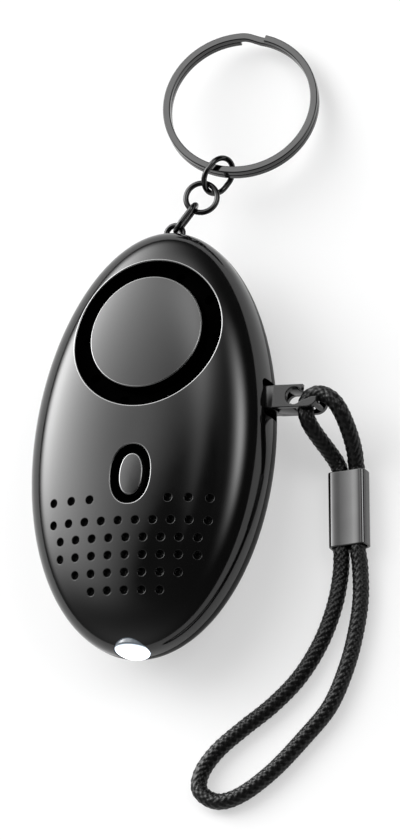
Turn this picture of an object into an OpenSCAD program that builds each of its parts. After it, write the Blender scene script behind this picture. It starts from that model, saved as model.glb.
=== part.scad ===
// Personal safety alarm: an egg-shaped case with a sounder, a torch, a pull pin on a cord and a key chain.
// The case lies on its back. z = 0 is the table, +Y points to the key ring and +X to the pull pin.

/* [Case] */
// Half of the case width
case_half_w = 22.5; // [22.25:0.25:22.75]
// Half of the case length
case_half_l = 39.25; // [39:0.25:39.5]
// Height of the front shell above the parting plane
front_h = 10.1; // [10:0.1:10.3]
// Depth of the rear shell below the parting plane before its flat is cut
rear_h = 10; // [10:0.1:10.2]
// Depth cut off the rear shell for the flat that it rests on
flat_cut = 0.5; // [0.4:0.05:0.6]
// Share by which the case widens towards the lamp end
case_taper = -0.04; // [-0.05:0.005:-0.03]
// Wall thickness of both shells
wall = 1.8; // [1.7:0.05:1.9]
// Height of the locating lip that stands on the rear shell
lip_h = 1; // [0.8:0.1:1.2]
// Thickness of the locating lip
lip_t = 0.8; // [0.6:0.1:0.9]

/* [Sounder] */
// Distance of the sounder from the case centre towards the key ring
sounder_y = 18.5; // [18:0.25:18.5]
// Height of the sounder's reference plane above the parting plane
sounder_z = 9; // [8.9:0.1:9.1]
// Lean of the sounder towards the key ring in degrees
sounder_tilt = 6; // [5.5:0.5:6.5]
// Outer diameter of the ring groove
groove_d = 27.8; // [27.4:0.2:28]
// Diameter of the round cap inside the groove
cap_d = 21.3; // [21:0.1:21.6]
// Depth of the groove floor below the reference plane
groove_floor = 3.6; // [3.4:0.1:3.7]
// Thickness of the groove floor
groove_floor_t = 1.4; // [1.3:0.1:1.5]
// Diameter of each sound port in the groove floor
port_d = 1.8; // [1.6:0.1:2]
// Number of sound ports
port_count = 10; // [8:1:12]
// Diameter of the brass sounder plate
plate_d = 27; // [26.6:0.2:27]
// Thickness of the brass sounder plate
plate_t = 0.3; // [0.25:0.05:0.35]
// Diameter of the ceramic layer
ceramic_d = 19; // [18:0.5:20]
// Thickness of the ceramic layer
ceramic_t = 0.25; // [0.2:0.05:0.3]
// Thickness of the gasket under the plate
gasket_t = 0.4; // [0.35:0.05:0.45]
// Height of the air chamber above the plate
chamber_h = 1.2; // [1.1:0.1:1.3]

/* [Torch button] */
// Distance of the button from the case centre towards the lamp
button_y = 8.05; // [7.9:0.05:8.2]
// Width of the button
button_w = 4.6; // [4.5:0.1:4.8]
// Length of the button
button_len = 7.8; // [7.6:0.1:8]
// Width of the dark well round the button
well_gap = 1.5; // [1.4:0.1:1.6]
// Depth of the well floor below the top of the case
well_depth = 1.7; // [1.6:0.1:1.8]
// Thickness of the well floor
well_floor_t = 1.6; // [1.5:0.1:1.7]
// Depth of the button's top below the top of the case
button_sink = 0.25; // [0.2:0.05:0.3]
// Thickness of the flange that keeps the button in
flange_t = 0.8; // [0.7:0.1:0.9]
// Overhang of the flange past the button
flange_w = 1; // [0.9:0.1:1.1]
// Travel of the button when it is pressed
button_travel = 0.7; // [0.6:0.05:0.75]

/* [Grip dimples] */
// Diameter of each dimple at the surface
dimple_d = 1.5; // [1.4:0.05:1.6]
// Depth of each dimple
dimple_depth = 0.65; // [0.6:0.05:0.7]
// Spacing of the dimples along a row
dimple_pitch = 3.3; // [3.2:0.05:3.4]
// Spacing of the dimples in the first row, either side of the button
first_pitch = 3.75; // [3.7:0.05:3.8]
// Distance of the first row from the case centre
first_row_y = 12.6; // [12.5:0.1:12.7]
// Distance of the second row from the case centre
second_row_y = 16.6; // [16.5:0.1:16.7]
// Spacing of the rows after the second
row_step = 3.1; // [3:0.05:3.2]

/* [Torch lamp] */
// Diameter of the clear lens at the lamp end
lens_d = 6.4; // [6.2:0.1:6.5]
// Bulge of the lens
lens_bulge = 1; // [0.9:0.1:1.1]
// Depth of the lens rim inside the end of the case
lens_inset = 0.8; // [0.75:0.05:0.9]
// Length of the lens inside the case
lens_len = 2; // [1.9:0.1:2.1]
// Diameter of the lamp body
lamp_d = 5; // [4.8:0.1:5.2]
// Gap between the back of the lamp and the cells
lamp_gap = 2.06; // [1.98:0.02:2.14]
// Height of the lens rim above the parting plane
lamp_rise = 2; // [1.9:0.1:2.1]
// Upward lean of the lamp in degrees
lamp_tilt = 14; // [13:0.5:15]

/* [Pull pin] */
// Distance of the pin from the case centre towards the key ring
pin_y = 7.6; // [7.5:0.1:7.7]
// Width of the pin's blade
blade_w = 4; // [3.9:0.1:4.1]
// Thickness of the blade at its root
blade_t = 1.4; // [1.3:0.05:1.4]
// Distance of the blade's tip from the case centre line
blade_tip_x = 11; // [10.9:0.1:11.2]
// Distance of the head's outer end from the case centre line
head_end_x = 31.5; // [31.5:0.1:31.8]
// Height of the head
head_w = 4.2; // [4.1:0.1:4.4]
// Depth of the head from the front plate's face to the rear plate's face
head_depth = 5.4; // [5.3:0.1:5.5]
// Thickness of each plate of the head
head_plate_t = 1.05; // [1:0.05:1.1]
// Height of the window in the rear plate
window_h = 2.9; // [2.8:0.1:3]
// Length of the window in the rear plate
window_len = 6.1; // [6:0.1:6.2]
// Diameter of the hole in the front plate, which ends in a hook
hook_d = 3.2; // [3.1:0.05:3.2]
// Diameter of the cross bar that the cord goes round
bar_d = 1.2; // [1.1:0.05:1.25]
// Height of the notch in the side of the case
notch_h = 6.8; // [6.6:0.1:7]

/* [Key chain] */
// Wire diameter of the eyelet and of the links
chain_wire = 1; // [0.9:0.05:1]
// Centreline length of the first link
link_1_len = 6; // [5.9:0.1:6.1]
// Centreline width of the first link
link_1_w = 3.5; // [3.4:0.1:3.6]
// Centreline diameter of the round second link
link_2_d = 5.6; // [5.5:0.1:5.7]
// Centreline length of the third link
link_3_len = 6.7; // [6.6:0.1:6.8]
// Centreline width of the third link
link_3_w = 5.8; // [5.7:0.1:5.9]
// Outer diameter of the split ring
ring_d = 28; // [27.6:0.2:28.2]
// Radial width of the split ring's wire
ring_wire_w = 1.3; // [1.2:0.05:1.35]
// Height of one coil of the split ring
coil_h = 1.2; // [1.1:0.05:1.2]

/* [Wrist cord] */
// Diameter of the cord
cord_d = 3; // [2.8:0.1:3]
// Outer height of the ferrule
ferrule_t = 4; // [3.9:0.1:4]
// Wall of the ferrule
ferrule_wall = 0.45; // [0.4:0.05:0.45]

/* [Inside] */
// Diameter of each button cell
cell_d = 11.6; // [11.4:0.1:11.6]
// Height of each button cell
cell_h = 5.4; // [5.3:0.1:5.4]
// Distance of the cells from the case centre towards the lamp
cell_y = 20.5; // [20.4:0.1:20.7]
// Width of the circuit board
board_w = 22; // [21.5:0.5:22.5]
// Thickness of the circuit board
board_t = 1.2; // [1:0.1:1.3]
// Depth of the board's top below the parting plane
board_drop = 1.5; // [1.4:0.05:1.6]
// Shank diameter of the case screws
screw_d = 1.9; // [1.8:0.1:2]
// Head diameter of the case screws
screw_head_d = 3.8; // [3.6:0.1:3.9]

/* [Clearances] */
// Side clearance of sliding pieces
slide_gap = 0.15; // [0.12:0.01:0.18]
// Clearance of pieces that are laid in place
seat_gap = 0.1; // [0.08:0.01:0.12]
// Play between chain links
chain_gap = 0.1; // [0.08:0.01:0.12]

/* [Hidden] */
$fn = 40;
big = 60;
part_z = rear_h - flat_cut;
front_p = 2.53;
front_q = 2.76;
rear_p = 2.28;
rear_q = 2.44;
black = [0.03, 0.03, 0.035];
metal = [0.22, 0.22, 0.24];
brass = [0.78, 0.62, 0.28];
tin = [0.72, 0.72, 0.7];
around = 48;

well_floor_z = front_h - well_depth;
button_r = button_w / 2;
button_half = button_len / 2;
button_top = front_h - button_sink;
flange_top = well_floor_z - well_floor_t - seat_gap;
button_foot = flange_top - flange_t;
switch_top = 2.8;
plunger_d = 3.5;

cup_r = groove_d / 2 + 1.4;
under_floor = groove_floor + groove_floor_t;
plate_top = under_floor + chamber_h + gasket_t;
holder_in = plate_d / 2 + seat_gap;
holder_out = holder_in + 1;
holder_low = plate_top + plate_t + ceramic_t;
chamber_r = plate_d / 2 - 0.75;
spigot_d = 5;
cap_roof = 1.4;

lens_r = lens_d / 2;
lens_flange = lens_r + 0.5;
lens_rim_y = case_half_l - lens_inset;
lamp_front = -lens_len - 1;
lamp_back_y = cell_y + cell_d / 2 + lamp_gap;
lamp_back = (lamp_back_y - lens_rim_y) / cos(lamp_tilt);
lamp_len = lamp_front - lamp_back;

notch_floor_x = 19.8;
guide_x = 17.6;
guide_h = notch_h + 2.8;
head_root_x = 20.4;
head_neck_x = 23.4;
web_end_x = 27.2;
foot_end_x = 26.6;
hook_x = 26.9;
mouth_x = 28.4;
arm_end_x = 31.2;
head_r = head_w / 2;
bar_x = 30.4;
bar_drop = 1.1;
leaf_x = 8.3;
leaf_end_x = 16.2;
leaf_t = 0.25;
contact_w = 3;
post_x = 6.6;
leaf_low = blade_t / 2 + 0.08;
rest_contact_z = -blade_t / 2 - 0.05;

eye_w = 3.2;
eye_y = case_half_l + chain_wire / 2 + 1.35;
wire_r = chain_wire / 2;
chain_heading = 60;
chain_drop = 10;
link_step = chain_wire + chain_gap;
link_1_start = -link_step;
link_2_start = link_1_start + link_1_len - link_step;
link_3_start = link_2_start + link_2_d - link_step;
ring_inset = 2.35;
ring_reach = link_3_start + link_3_len - ring_inset;
link_twist = [20, 10, -20];
chain_origin = [eye_w / 2 * cos(chain_heading), eye_y - eye_w / 2 * (1 - sin(chain_heading)), part_z];
ring_r = (ring_d - ring_wire_w) / 2;
ring_heading = 83;
ring_tilt = 10;
ring_roll = 9.5;
coil_gap = 0.06;
ramp_turn = 95.5;
climb_start = 346;
climb_len = 14;
coil_start = 3;

ferrule_len = 14;
ferrule_x = 34.3;
ferrule_y = -3.8;
ferrule_heading = 6;
channel_r = cord_d / 2 + 0.05;

boss_x = 13.6;
boss_y = -19;
screw_seat_z = 4.2;
screw_head_h = 1.4;
screw_tip_z = part_z + 4.4;

// Row of dimples: distance from the centre, spacing, position of the first, number
rows = [
  [first_row_y, first_pitch, -4, 3],
  [first_row_y, first_pitch, 2, 3],
  [second_row_y, dimple_pitch, -4.5, 10],
  [second_row_y + row_step, dimple_pitch, -4, 9],
  [second_row_y + 2 * row_step, dimple_pitch, -4, 9],
  [second_row_y + 3 * row_step, dimple_pitch, -3, 7],
  [second_row_y + 4 * row_step, dimple_pitch, -2, 5]
];

// Middle line of the wrist cord, from one end inside the ferrule round to the other
cord_route = [
  [33.6, -11.5, 2],
  [33.1, -7.2, 2],
  [32.76, -3.96, 2],
  [32.2, -2.2, 2.6],
  [31.2, -0.5, 4.2],
  [30.1, 1.2, 6.3],
  [29.2, 2.8, 8.3],
  [28.6, 4.4, 9.4],
  [28.25, 6.5, 9.5],
  [28.88, 8.02, 9.5],
  [30.4, 8.65, 9.5],
  [32.1, 8.2, 9.5],
  [33.5, 7.2, 9.4],
  [34.6, 5.6, 8.7],
  [35.3, 3.6, 7.2],
  [35.7, 1.5, 5.4],
  [35.8, -0.6, 3.5],
  [35.7, -2.4, 2.3],
  [35.84, -3.64, 2],
  [36.5, -10, 2],
  [37.29, -17.64, 2],
  [37.9, -21, 1.7],
  [38.5, -26.8, 1.55],
  [38.2, -32.7, 1.55],
  [37, -39.5, 1.55],
  [34.4, -46.7, 1.55],
  [29.8, -52.6, 1.55],
  [24.5, -58.3, 1.55],
  [19, -62.4, 1.55],
  [14.5, -63.6, 1.55],
  [11, -61.6, 1.55],
  [11, -58.2, 1.55],
  [13.7, -54.2, 1.55],
  [18.2, -50.3, 1.55],
  [23.4, -46.2, 1.55],
  [28.1, -41.2, 1.55],
  [31.6, -35, 1.55],
  [33.6, -28.5, 1.55],
  [34.3, -22.5, 1.6],
  [34.21, -17.96, 2],
  [33.65, -12, 2]
];

// Shapes shared by several pieces

function dome_point(i, rings, j, count, a, l, h, p, q) =
  let (u = 90 * i / rings, t = 360 * j / count, r = pow(cos(u), 2 / p))
  [a * (1 + case_taper * r * sin(t)) * r * cos(t), l * r * sin(t), h * pow(sin(u), 2 / q)];

// Half of the egg, standing on z = 0
module dome(a, l, h, p, q, count, rings) {
  points = concat(
    [for (i = [0:rings - 1]) for (j = [0:count - 1]) dome_point(i, rings, j, count, a, l, h, p, q)],
    [[0, 0, h]]
  );
  base = [for (j = [0:count - 1]) j];
  sides = [for (i = [0:rings - 2]) for (j = [0:count - 1]) for (k = [0, 1])
    k == 0
      ? [i * count + j, (i + 1) * count + j, (i + 1) * count + (j + 1) % count]
      : [i * count + j, (i + 1) * count + (j + 1) % count, i * count + (j + 1) % count]];
  crown = [for (j = [0:count - 1])
    [(rings - 1) * count + j, rings * count, (rings - 1) * count + (j + 1) % count]];
  polyhedron(points = points, faces = concat([base], sides, crown), convexity = 4);
}

module front_dome() {
  translate([0, 0, part_z])
    dome(case_half_w, case_half_l, front_h, front_p, front_q, around, 10);
}

module front_hollow() {
  translate([0, 0, part_z])
    dome(case_half_w - wall, case_half_l - wall, front_h - wall, front_p, front_q, 36, 8);
}

module rear_dome() {
  difference() {
    translate([0, 0, part_z])
      mirror([0, 0, 1])
        dome(case_half_w, case_half_l, rear_h, rear_p, rear_q, around, 10);
    translate([-big / 2, -big / 2, -10])
      cube([big, big, 10]);
  }
}

module rear_hollow() {
  translate([0, 0, part_z])
    mirror([0, 0, 1])
      dome(case_half_w - wall, case_half_l - wall, rear_h - wall, rear_p, rear_q, 36, 8);
}

module egg_plate(inset, h) {
  linear_extrude(height = h)
    polygon([for (t = [0:10:350])
      [(case_half_w - inset) * (1 + case_taper * sin(t)) * cos(t), (case_half_l - inset) * sin(t)]]);
}

function bent(v, power) = sign(v) * pow(abs(v), 2 / power);

// Outline of a rounded oval: an ellipse at power 2, squarer above that
function oval(a, b, power, count) =
  [for (j = [0:count - 1]) [a * bent(cos(360 * j / count), power), b * bent(sin(360 * j / count), power)]];

// Oval block that is larger than the button by a margin on every side
module button_oval(margin, z0, z1) {
  translate([0, 0, z0])
    linear_extrude(height = z1 - z0)
      polygon(oval(button_r + margin, button_half + margin, 2.2, 40));
}

module tube(r_out, r_in, z0, z1) {
  difference() {
    translate([0, 0, z0])
      cylinder(r = r_out, h = z1 - z0);
    translate([0, 0, z0 - 1])
      cylinder(r = r_in, h = z1 - z0 + 2);
  }
}

module at_sounder() {
  translate([0, sounder_y, part_z + sounder_z])
    rotate([-sounder_tilt, 0, 0])
      children();
}

module at_button() {
  translate([0, -button_y, part_z])
    children();
}

// Frame of the lamp: z = 0 at the lens rim, +z out of the case
module at_lamp() {
  translate([0, -lens_rim_y, part_z + lamp_rise])
    rotate([90 - lamp_tilt, 0, 0])
      children();
}

module chain_frame(start, twist) {
  translate(chain_origin)
    rotate([0, 0, chain_heading])
      rotate([0, chain_drop, 0])
        translate([start, 0, 0])
          rotate([twist, 0, 0])
            children();
}

// Closed oval of round wire lying in the XY plane, with one end at the origin and the other at x = len
module wire_oval(len, w, r) {
  reach = len - w;
  translate([w / 2, 0, 0])
    rotate([0, 0, 90])
      rotate_extrude(angle = 180)
        translate([w / 2, 0])
          circle(r);
  translate([w / 2 + reach, 0, 0])
    rotate([0, 0, -90])
      rotate_extrude(angle = 180)
        translate([w / 2, 0])
          circle(r);
  for (side = [-1, 1])
    translate([w / 2, side * w / 2, 0])
      rotate([0, 90, 0])
        cylinder(r = r, h = reach);
}

function mix(a, b, c, d, t) =
  0.5 * (2 * b + (c - a) * t + (2 * a - 5 * b + 4 * c - d) * t * t + (3 * b - a - 3 * c + d) * t * t * t);

function smooth(route, steps) =
  let (n = len(route))
  concat(
    [for (i = [0:n - 2]) for (s = [0:steps - 1])
      mix(route[max(i - 1, 0)], route[i], route[i + 1], route[min(i + 2, n - 1)], s / steps)],
    [route[n - 1]]
  );

function unit(v) = v / norm(v);

function ring_at(line, i, r, sides) =
  let (
    n = len(line),
    along = unit(line[min(i + 1, n - 1)] - line[max(i - 1, 0)]),
    across = unit(cross(along, [0, 0, 1])),
    up = cross(across, along)
  )
  [for (k = [0:sides - 1])
    line[i] + r * cos(360 * (k + 0.5) / sides) * across + r * sin(360 * (k + 0.5) / sides) * up];

module cord(line, r, sides) {
  n = len(line);
  points = [for (i = [0:n - 1]) each ring_at(line, i, r, sides)];
  skin = [for (i = [0:n - 2]) for (k = [0:sides - 1]) for (h = [0, 1])
    h == 0
      ? [i * sides + k, (i + 1) * sides + (k + 1) % sides, (i + 1) * sides + k]
      : [i * sides + k, i * sides + (k + 1) % sides, (i + 1) * sides + (k + 1) % sides]];
  near_end = [for (k = [0:sides - 1]) sides - 1 - k];
  far_end = [for (k = [0:sides - 1]) (n - 1) * sides + k];
  polyhedron(points = points, faces = concat([near_end, far_end], skin), convexity = 10);
}

// Openings that both shells share: lamp, pin notch and slot, eyelet legs

module shell_openings() {
  at_lamp()
    translate([0, 0, -lens_len - 4])
      cylinder(r = lens_r + seat_gap, h = 20);
  at_lamp()
    translate([0, 0, -lens_len - 3])
      cylinder(r = lens_flange + seat_gap, h = 3.2);
  translate([notch_floor_x, pin_y - notch_h / 2, part_z - notch_h / 2])
    cube([20, notch_h, notch_h]);
  translate([guide_x - 2, pin_y - blade_w / 2 - slide_gap, part_z - blade_t / 2 - slide_gap])
    cube([8, blade_w + 2 * slide_gap, blade_t + 2 * slide_gap]);
  for (side = [-1, 1])
    translate([side * eye_w / 2, case_half_l - 4, part_z])
      rotate([-90, 0, 0])
        cylinder(r = wire_r + chain_gap, h = 8);
}

module pin_guide() {
  translate([guide_x, pin_y - guide_h / 2, part_z - guide_h / 2])
    cube([10, guide_h, guide_h]);
}

// Case

module front_shell() {
  color(black)
    difference() {
      union() {
        difference() {
          front_dome();
          front_hollow();
        }
        intersection() {
          front_dome();
          union() {
            at_sounder()
              translate([0, 0, -under_floor])
                cylinder(r = cup_r, h = 20);
            at_button()
              button_oval(well_gap + 1.4, flange_top + seat_gap, 20);
            for (side = [-1, 1])
              translate([side * boss_x, boss_y, part_z])
                cylinder(r = 2.4, h = 20);
            pin_guide();
          }
        }
        at_sounder()
          tube(holder_out, chamber_r, -under_floor - chamber_h, -under_floor);
        at_sounder()
          tube(holder_out, holder_in, -holder_low, -under_floor - chamber_h);
      }
      at_sounder()
        translate([0, 0, -groove_floor])
          cylinder(r = groove_d / 2, h = 20);
      at_sounder()
        translate([0, 0, -under_floor - 1])
          cylinder(d = spigot_d, h = 5);
      at_sounder()
        for (i = [0:port_count - 1])
          rotate([0, 0, 360 * i / port_count])
            translate([(groove_d + cap_d) / 4, 0, -under_floor - 0.5])
              cylinder(d = port_d, h = 5);
      at_button()
        button_oval(well_gap, well_floor_z, 20);
      at_button()
        button_oval(slide_gap, 0, 20);
      for (side = [-1, 1])
        translate([side * boss_x, boss_y, part_z - 1])
          cylinder(d = screw_d + seat_gap, h = 6);
      dimples();
      shell_openings();
    }
}

function front_z(x, y) =
  let (w = case_half_w * (1 + case_taper * y / case_half_l),
    r = sqrt(pow(x / w, 2) + pow(y / case_half_l, 2)))
  part_z + front_h * pow(1 - pow(r, front_p), 1 / front_q);

module dimples() {
  ball = (pow(dimple_d / 2, 2) + pow(dimple_depth, 2)) / (2 * dimple_depth);
  for (row = rows)
    for (i = [0:row[3] - 1]) {
      x = row[1] * (row[2] + i);
      y = -row[0];
      translate([x, y, front_z(x, y) + ball - dimple_depth])
        sphere(r = ball, $fn = 24);
    }
}

module rear_shell() {
  color(black)
    difference() {
      union() {
        difference() {
          rear_dome();
          rear_hollow();
        }
        intersection() {
          rear_dome();
          union() {
            for (side = [-1, 1])
              translate([side * boss_x, boss_y, 0])
                cylinder(r = 3, h = part_z);
            for (x = [-9, 9])
              for (y = [-11.5, 12])
                translate([x, y, 0])
                  cylinder(r = 1.6, h = part_z - board_drop - board_t);
            for (side = [-1, 1])
              translate([side * cell_h - 0.6, -cell_y - 4.6, 0])
                cube([1.2, 9.2, part_z - 3]);
            for (side = [-1, 1])
              translate([side * (1.5 * cell_h + 1.2) - 0.6, -cell_y - 4.6, 0])
                cube([1.2, 9.2, part_z - 0.5]);
            pin_guide();
          }
        }
        lip();
      }
      translate([-1.5 * cell_h - 0.6, -cell_y, part_z])
        rotate([0, 90, 0])
          cylinder(d = cell_d + seat_gap, h = 3 * cell_h + 1.2);
      for (side = [-1, 1])
        translate([side * boss_x, boss_y, -1])
          cylinder(d = screw_head_d + 0.4, h = screw_seat_z + 1);
      for (side = [-1, 1])
        translate([side * boss_x, boss_y, -1])
          cylinder(d = screw_d + 0.3, h = part_z + 2);
      shell_openings();
    }
}

module lip() {
  difference() {
    translate([0, 0, part_z - 1])
      egg_plate(wall + seat_gap, lip_h + 1);
    translate([0, 0, part_z - 2])
      egg_plate(wall + seat_gap + lip_t, lip_h + 4);
    translate([guide_x - 1, pin_y - guide_h / 2 - seat_gap, part_z])
      cube([10, guide_h + 2 * seat_gap, 5]);
    translate([-5, -case_half_l, part_z - 1.2])
      cube([10, 8, 5]);
    translate([-5, case_half_l - 8, part_z - 1.2])
      cube([10, 8, 5]);
  }
}

module case_screws() {
  color(tin)
    for (side = [-1, 1])
      translate([side * boss_x, boss_y, 0])
        difference() {
          union() {
            translate([0, 0, screw_seat_z - screw_head_h])
              cylinder(d = screw_head_d, h = screw_head_h);
            translate([0, 0, screw_seat_z])
              cylinder(d = screw_d, h = screw_tip_z - screw_seat_z);
          }
          translate([0, 0, screw_seat_z - screw_head_h - 1])
            for (turn = [0, 90])
              rotate([0, 0, turn])
                translate([-1.2, -0.25, 0])
                  cube([2.4, 0.5, 1.7]);
        }
}

// Sounder

module sounder_cap() {
  color(black)
    difference() {
      intersection() {
        front_dome();
        at_sounder()
          union() {
            translate([0, 0, -groove_floor])
              cylinder(d = cap_d, h = 20);
            translate([0, 0, -under_floor])
              cylinder(d = spigot_d - 0.1, h = 5);
          }
      }
      at_sounder()
        tube(cap_d / 2 - 1.4, spigot_d / 2 + 0.8, -groove_floor - 1, -cap_roof);
    }
}

module sounder_gasket() {
  color([0.25, 0.25, 0.25])
    at_sounder()
      tube(plate_d / 2, chamber_r, -plate_top, -plate_top + gasket_t);
}

module sounder_plate() {
  color(brass)
    at_sounder()
      translate([0, 0, -plate_top - plate_t])
        cylinder(d = plate_d, h = plate_t);
}

module sounder_ceramic() {
  color([0.9, 0.88, 0.8])
    at_sounder()
      translate([0, 0, -holder_low])
        cylinder(d = ceramic_d, h = ceramic_t);
}

module sounder_leads() {
  board_z = part_z - board_drop;
  color([0.7, 0.1, 0.1])
    cord(smooth([[-5, 13, 11.5], [-6.2, 12.4, 10.8], [-7, 11.4, 9.8], [-7, 10.2, board_z + 0.4]], 3), 0.4, 8);
  color(black)
    cord(smooth([
      [5, 23, 10.4], [3, 19, 10.1], [1, 15, 9.9], [0, 12.4, 9.4], [0, 10.8, board_z + 0.4]
    ], 3), 0.4, 8);
}

// Torch button and its switch

module torch_button() {
  color(black)
    at_button() {
      button_oval(0, button_foot, button_top);
      button_oval(flange_w, button_foot, flange_top);
    }
}

module switch_body() {
  color([0.12, 0.12, 0.12])
    at_button()
      difference() {
        translate([-3, -3, -board_drop])
          cube([6, 6, switch_top + board_drop]);
        translate([0, 0, switch_top - button_travel - 0.3])
          cylinder(d = plunger_d + 2 * seat_gap, h = 5);
      }
}

module switch_plunger() {
  color([0.75, 0.72, 0.62])
    at_button()
      translate([0, 0, switch_top - 0.1])
        cylinder(d = plunger_d, h = button_foot - switch_top + 0.1);
}

// Circuit board and its parts

module circuit_board() {
  color([0.05, 0.3, 0.15])
    translate([0, 0, part_z - board_drop - board_t])
      linear_extrude(height = board_t)
        polygon([
          [-board_w / 2, -12], [-board_w / 2 + 1.5, -13.5], [board_w / 2 - 1.5, -13.5], [board_w / 2, -12],
          [board_w / 2, 12.5], [board_w / 2 - 1.5, 14], [-board_w / 2 + 1.5, 14], [-board_w / 2, 12.5]
        ]);
}

module under_board(x, y) {
  translate([x, y, part_z - board_drop - board_t])
    mirror([0, 0, 1])
      children();
}

module driver_chip() {
  color([0.06, 0.06, 0.06])
    under_board(4.5, 6)
      translate([-2.5, -2, 0])
        cube([5, 4, 1.5]);
}

module boost_coil() {
  color([0.15, 0.13, 0.12])
    under_board(-4, 4.5)
      union() {
        cylinder(r = 4, h = 0.8);
        cylinder(r = 2.6, h = 4);
        translate([0, 0, 3.4])
          cylinder(r = 4, h = 0.8);
      }
}

module power_transistor() {
  color([0.06, 0.06, 0.06])
    under_board(4.5, -3)
      translate([-2.25, -1.25, 0])
        cube([4.5, 2.5, 1.5]);
}

module chip_resistors() {
  color([0.3, 0.28, 0.25])
    for (i = [0:3])
      under_board(-6 + 2.6 * i, -8.5)
        translate([-0.6, -1, 0])
          cube([1.2, 2, 0.6]);
}

// Torch lamp

module torch_lens() {
  ball = (pow(lens_r, 2) + pow(lens_bulge, 2)) / (2 * lens_bulge);
  color([0.85, 0.9, 0.95])
    at_lamp()
      translate([0, 0, lamp_front])
        rotate_extrude() {
          square([lens_flange, 1]);
          intersection() {
            square([lens_r, 1 + lens_len + lens_bulge]);
            translate([0, 1 + lens_len + lens_bulge - ball])
              circle(ball);
          }
        }
}

module torch_lamp() {
  color([0.9, 0.92, 0.9])
    at_lamp()
      translate([0, 0, lamp_back]) {
        cylinder(d = lamp_d, h = lamp_len);
        cylinder(d = lamp_d + 0.8, h = 1);
      }
}

module lamp_leads() {
  back_y = -lamp_back_y;
  back_z = part_z + lamp_rise + lamp_back * sin(lamp_tilt);
  board_z = part_z - board_drop;
  over = cell_d / 2 + 0.8;
  for (side = [-1, 1])
    color(side < 0 ? black : [0.7, 0.1, 0.1])
      cord(smooth([
        [side * 1.3, back_y + 0.15, back_z - 0.04], [side * 1.3, back_y + 0.87, back_z - 0.22],
        [side * 1.3, back_y + 1.22, part_z + 1.25], [side * 1.3, back_y + 2.1, part_z + 3.45],
        [side * 1.3, back_y + 3.7, part_z + 5.35], [side * 1.3, -cell_y - 2, part_z + over - 0.2],
        [side * 1.3, -cell_y, part_z + over], [side * 1.3, -cell_y + 2.5, part_z + over - 0.2],
        [side * 1.3, -cell_y + 5.2, part_z + over - 2], [side * 1.3, -13.4, part_z + 1.5],
        [side * 1.3, -12.4, board_z + 0.4]
      ], 2), 0.4, 8);
}

// Power supply

module cell(i) {
  color(tin)
    translate([cell_h * (i - 2) - cell_h / 2, -cell_y, part_z])
      rotate([0, 90, 0])
        union() {
          cylinder(d = cell_d, h = cell_h - 0.6);
          cylinder(d = cell_d - 2.4, h = cell_h);
        }
}

module cell_1() {
  cell(1);
}

module cell_2() {
  cell(2);
}

module cell_3() {
  cell(3);
}

module end_contact(side) {
  x0 = side * (1.5 * cell_h + 0.3);
  color(tin)
    translate([x0 - 0.3, -cell_y - 4, part_z - 4.5])
      cube([0.6, 8, 9]);
}

module positive_contact() {
  end_contact(-1);
}

module negative_contact() {
  end_contact(1);
}

// Contacts that the pull pin keeps apart

module pin_contact_rest() {
  color(brass)
    translate([0, pin_y - contact_w / 2, part_z]) {
      translate([8.7, 0, -board_drop])
        cube([2, contact_w, board_drop + rest_contact_z]);
      translate([10.7, 0, rest_contact_z - 0.3])
        cube([6.3, contact_w, 0.3]);
    }
}

module pin_contact_post() {
  color(brass)
    translate([post_x, pin_y - contact_w / 2, part_z - board_drop])
      cube([leaf_x - 0.05 - post_x, contact_w, board_drop + leaf_low + leaf_t]);
}

module pin_contact_leaf() {
  color(brass)
    translate([leaf_x, pin_y - contact_w / 2, part_z + leaf_low])
      cube([leaf_end_x - leaf_x, contact_w, leaf_t]);
}

// Pull pin, cord and ferrule

module head_outline() {
  translate([head_end_x - head_r, 0])
    circle(head_r);
  translate([head_neck_x - 0.5, -head_r])
    square([head_end_x - head_r - head_neck_x + 0.5, head_w]);
}

// Front plate: a hole that opens into a mouth above an arm
module hook_plate() {
  lip_x = mouth_x - 0.3;
  lip_y = sqrt(pow(hook_d / 2, 2) - pow(lip_x - hook_x, 2));
  difference() {
    head_outline();
    translate([hook_x, 0])
      circle(hook_d / 2);
    polygon([
      [mouth_x, 3], [mouth_x, 1.2], [lip_x, lip_y], [lip_x, -lip_y],
      [30.2, -0.3], [arm_end_x, -0.2], [arm_end_x, -3], [34, -3], [34, 3]
    ]);
  }
}

// Rear plate: a long window
module window_plate() {
  start = 30 - window_len + window_h / 2;
  difference() {
    head_outline();
    translate([start, 0])
      circle(window_h / 2);
    translate([30 - window_h / 2, 0])
      circle(window_h / 2);
    translate([start, -window_h / 2])
      square([window_len - window_h, window_h]);
  }
}

module pull_pin() {
  taper_x = 17;
  color(black)
    translate([0, pin_y, part_z]) {
      translate([0, blade_w / 2, 0])
        rotate([90, 0, 0])
          linear_extrude(height = blade_w)
            polygon([
              [blade_tip_x, -blade_t / 2], [blade_tip_x, 0.3], [taper_x, blade_t / 2],
              [head_root_x + 1, blade_t / 2], [head_root_x + 1, -blade_t / 2]
            ]);
      translate([head_root_x, -head_r, -head_depth / 2])
        cube([head_neck_x - head_root_x, head_w, head_depth]);
      translate([0, 0, head_depth / 2 - head_plate_t])
        linear_extrude(height = head_plate_t)
          hook_plate();
      translate([0, 0, -head_depth / 2])
        linear_extrude(height = head_plate_t)
          window_plate();
      translate([head_neck_x - 0.5, window_h / 2, -head_depth / 2])
        cube([web_end_x - head_neck_x + 0.5, head_r - window_h / 2, head_depth]);
      translate([head_neck_x - 0.5, -head_r, -head_depth / 2])
        cube([foot_end_x - head_neck_x + 0.5, head_r - window_h / 2, head_depth]);
      translate([bar_x, -bar_drop, -head_depth / 2 + 0.2])
        cylinder(d = bar_d, h = head_depth - 0.4);
    }
}

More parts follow.
